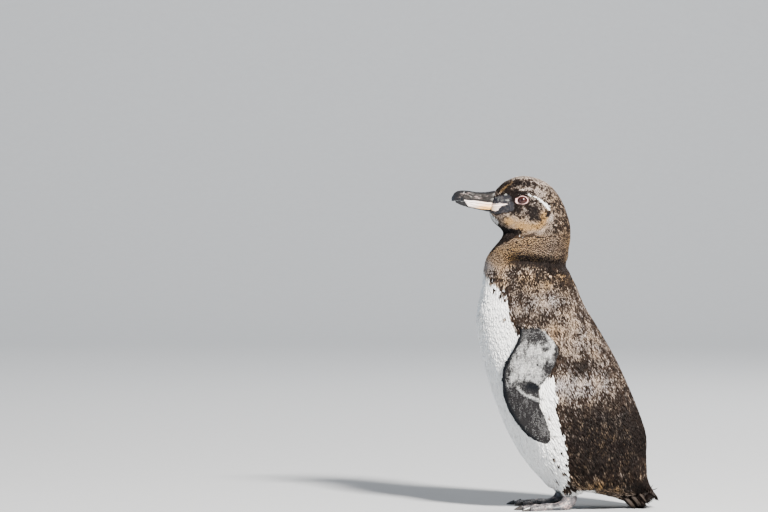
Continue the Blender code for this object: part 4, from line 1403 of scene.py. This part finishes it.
def billMaterial():
    material, tree, shader = newMaterial("BillHorn", Roughness=0.36, Specular_IOR_Level=0.3, Coat_Weight=0.10,
                                         Coat_Roughness=0.2)
    point = pointOf(tree)
    long = stretched(tree, point, (0.16, 1.0, 1.0))
    grain, streak = noiseOf(tree, point, 1100.0, 4.0), noiseOf(tree, long, 620.0, 5.0)
    fine = noiseOf(tree, long, 2400.0, 2.0)
    shade = plus(tree, attributeOf(tree, "darkHornAndShadow"), swing(tree, streak, 1.1))
    dark = mixed(tree, stepped(tree, shade, 0.35, 0.75), billColours["horn"], billColours["dark"])
    worn = plus(tree, attributeOf(tree, "worn"), swing(tree, streak, 2.0))
    worn = times(tree, stepped(tree, worn, 0.55, 0.95), stepped(tree, fine, 0.35, 0.6, 0.6, 1.0))
    dark = mixed(tree, worn, dark, billColours["worn"])
    light = mixed(tree, attributeOf(tree, "cream"), billColours["pale"], billColours["cream"])
    light = mixed(tree, stepped(tree, streak, 0.56, 0.74, 0.0, 0.35), light, billColours["worn"])
    shown = plus(tree, attributeOf(tree, "light"), swing(tree, streak, 0.5))
    colour = mixed(tree, stepped(tree, shown, 0.46, 0.56), dark, light)
    tree.links.new(colour, shader.inputs["Base Color"])
    tree.links.new(stepped(tree, grain, 0.3, 0.7, 0.26, 0.44), shader.inputs["Roughness"])
    bumped(tree, shader, plus(tree, streak, times(tree, fine, 0.3)), 0.4, 0.0003)
    return material


def shapeBill(points, normals, upper):
    x, y, z = points.T / mm
    side = ramp(np.abs(y), 1.2, 3.0)
    lift = 0.22 * clouds(points * (0.5, 1, 1), 2.2 * mm, 8)
    if upper:
        groove = [(-74, 387.5), (-90, 387.6), (-104, 389.6), (-113, 394.5)]
        plate = [(-113, 394.5), (-117.5, 389), (-118, 384.5)]
        lift -= billForm["grooveDeep"] * furrow(groove, x, z, 0.9) * side
        lift -= billForm["nostrilDeep"] * furrow([(-87.5, 386.9), (-94.5, 387.5)], x, z, 0.8) * side
        lift -= 0.3 * furrow(plate, x, z, 0.8) * side
    else:
        lift -= 0.4 * furrow([(-82, 373.6), (-100, 377.4), (-114, 381.0)], x, z, 1.0) * side
        lift -= 0.25 * furrow([(-112, 376), (-117, 384)], x, z, 0.8)
    points = points + normals * (lift * mm)[:, None]
    base = x - (-82.2 + (z - 370.0) * 8.0 / 27.2)
    into = ramp(base, -3.2, -0.2)
    points[:, 0] += into * billForm["intoHead"] * mm
    points[:, 1] *= 1 - 0.10 * into
    return points


def markBill(mesh, points, upper):
    # the first mask is the near-black horn, with a painted shadow along the gape under the upper bill's edge;
    # worn is the lilac streaks of wear, two of them partly painted highlights; light and cream are the pale
    # lower half, painted dark as shade on its underside
    x, _, z = points.T / mm
    rough = clouds(points * (0.45, 1, 1.2), 3.6 * mm, 9)
    darkHornAndShadow, worn = 0.44 + 0.4 * rough, 0.30 + 0.45 * rough
    pale = np.interp(x, [-119, -112.8, -93.4, -77.9], [386.7, 385.3, 383.2, 381.2])
    begins = (x + 114.8 - 0.66 * (386.7 - z)) * 0.8                   # mm past the dark tip
    if upper:
        top = np.interp(x, [-128, -118, -108, -97, -86, -74], [392, 397, 396.8, 395.2, 395.2, 397.2])
        # darker at the top, and a painted shadow: a dark line just above the gape under the upper bill's edge
        darkHornAndShadow += 0.9 * ramp(z - top, -3.4, -0.8) + 0.5 * (1 - ramp(z - pale, 0.3, 2.0))
        darkHornAndShadow += 0.7 * (1 - ramp(x + (z - 388) * 0.25, -124, -117)) - 0.2 * hill(x, z, (-78, 386), (7, 6))
        # two streaks of wear on the side of the bill, partly painted highlights
        worn += 0.35 * hill(x, z, (-112, 392.5), (9, 1.8)) + 0.30 * hill(x, z, (-97, 388.5), (12, 2.4))
        worn -= 0.35 * ramp(z - top, -2.4, -0.6) + 0.25 * ramp(x, -86, -80)
        worn -= 0.30 * (1 - ramp(x, -124, -119))
        away = np.minimum(pale - z, begins)
    else:
        # below the keel line the lower bill is painted dark: shade on its underside
        keel = np.interp(x, [-118.8, -110.4, -101.2, -91.8, -82.2], [379.2, 376.3, 374.2, 372.2, 370.0])
        away = np.minimum(z - keel - 1.0 - 2.8 * hill(x, z, (-83, 370.5), (7, 4)), begins)
        darkHornAndShadow += 0.35
        worn -= 0.1
    light = 0.5 + away / 5.0
    cream = 1.3 * hill(x, z, (-87, 373), (13, 5.0)) + 0.25 * ramp(x, -104, -86)
    for name, values in (("darkHornAndShadow", darkHornAndShadow), ("worn", worn), ("light", light), ("cream", cream)):
        setAttribute(mesh, name, np.clip(values, 0, 1))


def makeBill():
    print("bill")
    material = billMaterial()
    for half in ("upper", "lower"):
        mesh = remeshed(nodeCopy(["bill_" + half]), billForm["voxel"])
        points = smoothed(coordsOf(mesh), edgesOf(mesh), billForm["rounds"], 0.5)
        setCoords(mesh, points)
        markBill(mesh, points, half == "upper")
        setCoords(mesh, shapeBill(points, normalsOf(mesh), half == "upper"))
        finishPiece("Bill" + half.capitalize(), mesh, material, "bill_horn", "bill_" + half)


makeBill()


# eyes: a ball with the front of the eye bulging a little; angles are from its axis, in degrees

irisForm = {"pupil": 8.0, "disc": 31.0, "bulge": 0.35, "bulgeReach": 30.0}
irisColours = {
    "pupil": (0.004, 0.002, 0.002),
    "inner": (0.014, 0.0045, 0.004),
    "outer": (0.033, 0.011, 0.009),
    "rim": (0.014, 0.002, 0.002),
    "fibre": (0.020, 0.006, 0.005),
}


def eyeMaterial():
    material, tree, shader = newMaterial("EyeGloss", Roughness=0.3, Specular_IOR_Level=0.1, Coat_Weight=0.45,
                                         Coat_Roughness=0.03)
    angle, pupil, rim = attributeOf(tree, "offAxis"), irisForm["pupil"], irisForm["disc"]
    fibres = noiseOf(tree, attributeOf(tree, "turn", "Vector"), 7.0, 4.0)
    disc = mixed(tree, stepped(tree, angle, pupil, rim), irisColours["inner"], irisColours["outer"])
    disc = mixed(tree, stepped(tree, fibres, 0.35, 0.7, 0.0, 0.5), disc, irisColours["fibre"])
    colour = mixed(tree, stepped(tree, angle, rim - 3, rim + 3), disc, irisColours["rim"])
    colour = mixed(tree, stepped(tree, angle, pupil - 1.5, pupil + 0.5), irisColours["pupil"], colour)
    tree.links.new(colour, shader.inputs["Base Color"])
    return material


def makeEyes():
    print("eyes")
    material = eyeMaterial()
    for side in sides:
        centre, out, forward, up = eyeAxes(side)
        work = bmesh.new()
        bmesh.ops.create_uvsphere(work, u_segments=48, v_segments=40, radius=eyeForm["radius"] * mm)
        frameOf = Matrix([forward, up, out]).transposed()
        if frameOf.determinant() < 0:
            frameOf = Matrix([-forward, up, out]).transposed()
        bmesh.ops.transform(work, matrix=frameOf.to_4x4(), verts=work.verts)
        mesh = bpy.data.meshes.new("Eye" + side.capitalize())
        work.to_mesh(mesh)
        work.free()
        ball = coordsOf(mesh)
        angle = np.degrees(np.arccos(np.clip(unit(ball) @ out, -1, 1)))
        swell = 1 + irisForm["bulge"] / eyeForm["radius"] * np.exp(-(angle / irisForm["bulgeReach"]) ** 2)
        setAttribute(mesh, "offAxis", angle)
        flat = unit(ball - np.outer(ball @ out, out))
        setAttribute(mesh, "turn", flat * (1 + angle[:, None] / 60))
        setCoords(mesh, centre + ball * swell[:, None])
        finishPiece("Eye" + side.capitalize(), mesh, material, "eye_gloss", "eye_" + side)


makeEyes()


# feet: pebbled skin over toes and webs, with cross scales on top of the toes

footForm = {
    "voxel": 0.75 * mm,
    "rounds": 3,
    "pebble": 1.7,                   # mm between the middles of neighbouring scales
    "pebbleDeep": 0.32,
    "scute": 2.7,                    # mm from one cross scale to the next
    "scuteDeep": 0.35,
}
toeNames = ("inner", "middle", "outer")
footColours = {
    "grey": (0.125, 0.113, 0.118),
    "dark": (0.022, 0.021, 0.025),
    "pink": (0.52, 0.36, 0.33),
    "web": (0.035, 0.037, 0.045),
}


def footMaterial():
    material, tree, shader = newMaterial("FootSkin", Roughness=0.5, Specular_IOR_Level=0.5)
    point = pointOf(tree)
    patch, grain = noiseOf(tree, point, 130.0, 3.0), noiseOf(tree, point, 1400.0, 3.0)
    shown = plus(tree, patch, swing(tree, attributeOf(tree, "cellTone"), 0.30))
    colour = mixed(tree, stepped(tree, shown, 0.36, 0.56), footColours["dark"], footColours["grey"])
    colour = mixed(tree, stepped(tree, shown, 0.60, 0.74), colour, footColours["pink"])
    colour = mixed(tree, attributeOf(tree, "web"), colour, footColours["web"])
    colour = mixed(tree, times(tree, attributeOf(tree, "groove"), 0.7), colour, footColours["dark"])
    tree.links.new(colour, shader.inputs["Base Color"])
    tree.links.new(stepped(tree, grain, 0.3, 0.7, 0.38, 0.62), shader.inputs["Roughness"])
    bumped(tree, shader, grain, 0.3, 0.0001)
    return material


def cellsOver(points, size, seed):
    # distance to the border between neighbouring scales, in mm, and a tone for each scale
    order = np.random.default_rng(seed).permutation(len(points))
    taken, grid = [], set()
    for k in order:
        key = tuple(np.floor(points[k] / (size * mm * 0.72)).astype(int))
        if key not in grid:
            grid.add(key)
            taken.append(k)
    tree = KDTree(len(taken))
    for slot, k in enumerate(taken):
        tree.insert(points[k], slot)
    tree.balance()
    tones = np.random.default_rng(seed + 1).random(len(taken))
    border, tone = np.empty(len(points)), np.empty(len(points))
    for k, point in enumerate(points):
        (_, nearest, near), (_, _, far) = tree.find_n(point, 2)
        border[k] = (far - near) / mm
        tone[k] = tones[nearest]
    return border, tone


def shapeFoot(mesh, side):
    points, normals = coordsOf(mesh), normalsOf(mesh)
    border, tone = cellsOver(points, footForm["pebble"], 5)
    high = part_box("foot_" + side)[1]
    ankle = points[points[:, 2] > high[2] - 2 * mm].mean(axis=0)
    root = np.array([ankle[0] - 8 * mm, ankle[1], 0.0])
    onToe, along = np.full(len(points), 1e9), np.zeros(len(points))
    for toe in toeNames:
        clawLow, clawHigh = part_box("claw_" + toe + "_" + side)
        end = np.array((clawLow + clawHigh) / 2)
        run = end[:2] - root[:2]
        share = np.clip((points[:, :2] - root[:2]) @ run / (run @ run), 0, 1)
        away = np.linalg.norm(points[:, :2] - root[:2] - share[:, None] * run, axis=1) / mm
        nearer = away < onToe
        onToe = np.where(nearer, away, onToe)
        along = np.where(nearer, share * np.linalg.norm(run) / mm, along)
    top = ramp(normals[:, 2], 0.2, 0.6) * (1 - ramp(onToe, 3.5, 5.0)) * ramp(along, 8, 14)
    phase = np.abs((along / footForm["scute"]) % 1 - 0.5) * 2
    scute = np.exp(-((1 - phase) / 0.28) ** 2) * top
    groove = (1 - ramp(border, 0.1, 0.75)) * (1 - top)
    web = ramp(onToe, 4.6, 6.2) * (1 - ramp(points[:, 2] / mm, 4.0, 6.0))
    web = web * ramp(root[0] - points[:, 0], 0, 6 * mm)
    lift = -footForm["pebbleDeep"] * groove * (1 - 0.55 * web) - footForm["scuteDeep"] * scute
    sole = ramp(points[:, 2] / mm, 0.4, 1.2)
    points = points + normals * (lift * sole * mm)[:, None]
    points[:, 2] = np.maximum(points[:, 2], 0.0)
    setAttribute(mesh, "web", web)
    setAttribute(mesh, "groove", np.clip(groove * (1 - web * 0.6) + scute, 0, 1) * sole)
    setAttribute(mesh, "cellTone", tone)
    setCoords(mesh, points)


def makeFeet():
    print("feet")
    material = footMaterial()
    for side in sides:
        mesh = remeshed(nodeCopy(["foot_" + side]), footForm["voxel"])
        points = coordsOf(mesh)
        ground = ramp(points[:, 2] / mm, 0.2, 1.4)
        moved = smoothed(points, edgesOf(mesh), footForm["rounds"], 0.5 * ground)
        setCoords(mesh, moved)
        shapeFoot(mesh, side)
        finishPiece("Foot" + side.capitalize(), mesh, material, "foot_skin", "foot_" + side)


makeFeet()


# claws: dark horn, worn paler towards the point

clawForm = {"voxel": 0.3 * mm, "rounds": 3}
clawColours = {"dark": (0.012, 0.011, 0.012), "worn": (0.16, 0.13, 0.11)}


def makeClaws():
    print("claws")
    material, tree, shader = newMaterial("ClawHorn", Roughness=0.35, Coat_Weight=0.2, Coat_Roughness=0.2)
    grain = noiseOf(tree, stretched(tree, pointOf(tree), (0.2, 1.0, 1.0)), 1500.0, 3.0)
    worn = times(tree, attributeOf(tree, "tipShare"), stepped(tree, grain, 0.4, 0.7))
    tree.links.new(mixed(tree, worn, clawColours["dark"], clawColours["worn"]), shader.inputs["Base Color"])
    bumped(tree, shader, grain, 0.35, 0.00015)
    for side in sides:
        for toe in (*toeNames, "hallux"):
            node = "claw_" + toe + "_" + side
            mesh = remeshed(nodeCopy([node]), clawForm["voxel"])
            points = smoothed(coordsOf(mesh), edgesOf(mesh), clawForm["rounds"], 0.45)
            points[:, 2] = np.maximum(points[:, 2], 0.0)
            span = points[:, 0].max() - points[:, 0].min()
            setAttribute(mesh, "tipShare", 1 - (points[:, 0] - points[:, 0].min()) / span)
            setCoords(mesh, points)
            finishPiece("Claw" + toe.capitalize() + side.capitalize(), mesh, material, "claw_horn", node)


makeClaws()


# tail quills: four fans of stiff vanes that reach the tail's end

tailFans = {
    "TailQuillsUpper":  {"count": 15, "root": (101.5, 0, 45), "aim": (129, 0, 14.5), "fan": 9, "spread": 15,
                         "roof": 6, "long": 41, "wide": 4.6, "seed": 3},
    "TailQuillsMiddle": {"count": 17, "root": (94, 0, 39.5), "aim": (121.5, 0, 8.8), "fan": 11, "spread": 20,
                         "roof": 5, "long": 41, "wide": 5.0, "seed": 8},
    "TailQuillsLower":  {"count": 19, "root": (86, 0, 33.5), "aim": (113.5, 0, 3.4), "fan": 11, "spread": 22,
                         "roof": 4, "long": 40, "wide": 5.4, "seed": 13},
    "TailQuillsUnder":  {"count": 19, "root": (79, 0, 27), "aim": (105, 0, 0.8), "fan": 11, "spread": 23,
                         "roof": 2, "long": 37, "wide": 5.6, "seed": 21},
}


def fanTree():
    # a row of quills across the tail, fanned out, the outer ones lower and rolled outwards
    tree, given, source = newTree("Fan Quills", (
        ("Quill", "Object", None), ("Quill Material", "Material", None), ("Count", "Int", 13),
        ("Root", "Vector", None), ("Dip", "Float", 0.3), ("Fan", "Float", 0.25), ("Spread", "Float", 0.02),
        ("Roof", "Float", 0.005), ("Length", "Float", 0.036), ("Width", "Float", 0.006), ("Seed", "Int", 1),
    ), "Quills")
    seed = source["Seed"]
    row = addNode(tree, "GeometryNodeMeshLine", {"Count": source["Count"]})
    index = addNode(tree, "GeometryNodeInputIndex").outputs[0]
    last = minus(tree, source["Count"], 1.0)
    share = minus(tree, times(tree, maths(tree, "DIVIDE", index, last), 2.0), 1.0)      # -1 to 1 across
    square = times(tree, share, share)
    root = addNode(tree, "ShaderNodeSeparateXYZ", {0: source["Root"]}).outputs
    spot = combined(tree, {
        0: plus(tree, root[0], times(tree, square, -0.004)),
        1: times(tree, share, source["Spread"]),
        2: minus(tree, root[2], times(tree, square, source["Roof"])),
    })
    placed = addNode(tree, "GeometryNodeSetPosition", {"Geometry": row.outputs[0], "Position": spot})
    yaw = minus(tree, times(tree, share, source["Fan"]), math.pi / 2)
    yaw = plus(tree, yaw, chance(tree, seed, -0.03, 0.03, 1))
    dip = plus(tree, times(tree, source["Dip"], -1.0), chance(tree, seed, -0.025, 0.025, 2))
    roll = times(tree, times(tree, share, maths(tree, "ABSOLUTE", share)), 1.3)
    aimed = addNode(tree, "FunctionNodeEulerToRotation", {0: combined(tree, {2: yaw})}).outputs[0]
    rolled = turnedBy(tree, turnedBy(tree, aimed, {0: dip}), {1: roll})
    size = minus(tree, chance(tree, seed, 0.94, 1.04, 3), times(tree, square, 0.12))
    wide, long = source["Width"], times(tree, source["Length"], size)
    fan = setVanes(tree, placed.outputs[0], source["Quill"], rolled, {0: wide, 1: long, 2: wide})
    fan = stored(tree, fan, "tone", "FLOAT", chance(tree, seed, 0.0, 1.0, 4))
    fan = stored(tree, fan, "rootUv", "FLOAT_VECTOR", combined(tree, {0: share, 1: 0.5}))
    finishTree(tree, fan, source["Quill Material"])
    return tree, given


quillGap = {"floor": 0.15 * mm, "end": 0.1 * mm}     # the quills stay this far inside the tail's reach
quillColours = {
    "dark": (0.012, 0.009, 0.007),
    "brown": (0.028, 0.021, 0.017),
    "edge": (0.060, 0.048, 0.040),
    "shaft": (0.012, 0.009, 0.008),
}


def quillMaterial():
    material, tree, shader = newMaterial("TailQuill", Roughness=0.65, Specular_IOR_Level=0.08)
    across, along = vaneSpot(tree)
    middle = maths(tree, "ABSOLUTE", minus(tree, across, 0.5))
    barbs = maths(tree, "SINE", times(tree, minus(tree, along, times(tree, middle, 0.35)), 420.0))
    tone = stepped(tree, attributeOf(tree, "tone"), 0, 1)
    colour = mixed(tree, tone, quillColours["dark"], quillColours["brown"])
    colour = mixed(tree, stepped(tree, middle, 0.30, 0.48, 0.0, 0.5), colour, quillColours["edge"])
    colour = mixed(tree, stepped(tree, middle, 0.0, 0.05, 0.7, 0.0), colour, quillColours["shaft"])
    tree.links.new(colour, shader.inputs["Base Color"])
    bumped(tree, shader, barbs, 0.5, 0.00015)
    return material


def makeTail():
    print("tail quills")
    tree, given = fanTree()
    material = quillMaterial()
    for name, own in tailFans.items():
        root, aim = np.array(own["root"], float), np.array(own["aim"], float)
        host = newObject(name, bpy.data.meshes.new(name))
        made = runTree(host, tree, given, {
            "Quill": vanes["quill"], "Quill Material": material, "Count": own["count"],
            "Root": tuple(root * mm), "Dip": math.atan2(root[2] - aim[2], aim[0] - root[0]),
            "Fan": math.radians(own["fan"]), "Spread": own["spread"] * mm, "Roof": own["roof"] * mm,
            "Length": own["long"] * mm, "Width": own["wide"] * mm, "Seed": own["seed"],
        })
        bakeMap(made)
        points = coordsOf(made)
        points[:, 2] = np.maximum(points[:, 2], quillGap["floor"])
        points[:, 0] = np.minimum(points[:, 0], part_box("tail")[1][0] - quillGap["end"])
        setCoords(made, points)
        place(host, "tail_quills")


makeTail()


# camera, light and floor

view = {
    "place": (-0.214, -5.3, 0.45),
    "lookAt": (-0.214, 0.0, 0.315),
    "lens": 198.75,
}
lamps = {
    "Key": {"place": (1.7, -3.1, 3.0), "size": 0.6, "power": 1350.0, "colour": (1.0, 0.955, 0.89)},
    "Fill": {"place": (-2.6, -1.4, 0.8), "size": 1.6, "power": 22.0, "colour": (0.45, 0.70, 1.0)},
    "Rim": {"place": (1.2, 2.4, 2.0), "size": 1.2, "power": 60.0, "colour": (1.0, 0.98, 0.95)},
    "Wash": {"place": (0.0, 2.6, 5.5), "size": 3.0, "power": 500.0, "colour": (0.96, 0.98, 1.0),
             "aim": (0, 9, 1.5)},
}
air = {"colour": (0.68, 0.80, 0.96, 1.0), "strength": 0.14}
sweep = {
    "front": -36.0,                  # the floor runs level from here, in metres
    "reach": 4.4,                    # and curves up from here
    "curve": 3.6,
    "high": 7.0,
    "wide": 9.0,
    "steps": 24,
    "dark": (0.335, 0.345, 0.36),
    "light": (0.365, 0.375, 0.39),
}


def aimAt(item, spot, target):
    item.location = spot
    item.rotation_mode = "QUATERNION"
    item.rotation_quaternion = (Vector(target) - Vector(spot)).to_track_quat("-Z", "Y")
    bpy.context.scene.collection.objects.link(item)
    return item


def makeStudio():
    print("studio")
    camera = bpy.data.objects.new("Camera", bpy.data.cameras.new("Camera"))
    camera.data.lens = view["lens"]
    camera.data.clip_end = 50.0
    bpy.context.scene.camera = aimAt(camera, view["place"], view["lookAt"])
    for name, own in lamps.items():
        lamp = bpy.data.objects.new(name, bpy.data.lights.new(name, "AREA"))
        lamp.data.size = own["size"]
        lamp.data.energy = own["power"]
        lamp.data.color = own["colour"]
        aimAt(lamp, own["place"], own.get("aim", (0, 0, 0.22)))
    world = bpy.data.worlds.new("Studio")
    world.use_nodes = True
    sky = world.node_tree.nodes["Background"].inputs
    sky[0].default_value = air["colour"]
    sky[1].default_value = air["strength"]
    bpy.context.scene.world = world
    makeFloor()


def makeFloor():
    # one sheet: level under the bird, curving up behind
    reach, curve = sweep["reach"], sweep["curve"]
    line = [(sweep["front"], 0.0), (reach, 0.0)]
    for k in range(1, sweep["steps"] + 1):
        turn = math.pi / 2 * k / sweep["steps"]
        line.append((reach + curve * math.sin(turn), curve * (1 - math.cos(turn))))
    line.append((reach + curve, sweep["high"]))
    points = [(x, y, z) for y, z in line for x in (-sweep["wide"], sweep["wide"])]
    faces = [(2 * k, 2 * k + 1, 2 * k + 3, 2 * k + 2) for k in range(len(line) - 1)]
    mesh = bpy.data.meshes.new("Floor")
    mesh.from_pydata(points, [], faces)
    shadeSmooth(mesh)
    floor = newObject("Floor", mesh)
    material, tree, shader = newMaterial("FloorPaint", Roughness=0.85)
    grain = noiseOf(tree, pointOf(tree), 60.0, 4.0)
    tree.links.new(mixed(tree, grain, sweep["dark"], sweep["light"]), shader.inputs["Base Color"])
    mesh.materials.append(material)


makeStudio()
for helper in vanes.values():
    bpy.data.objects.remove(helper)
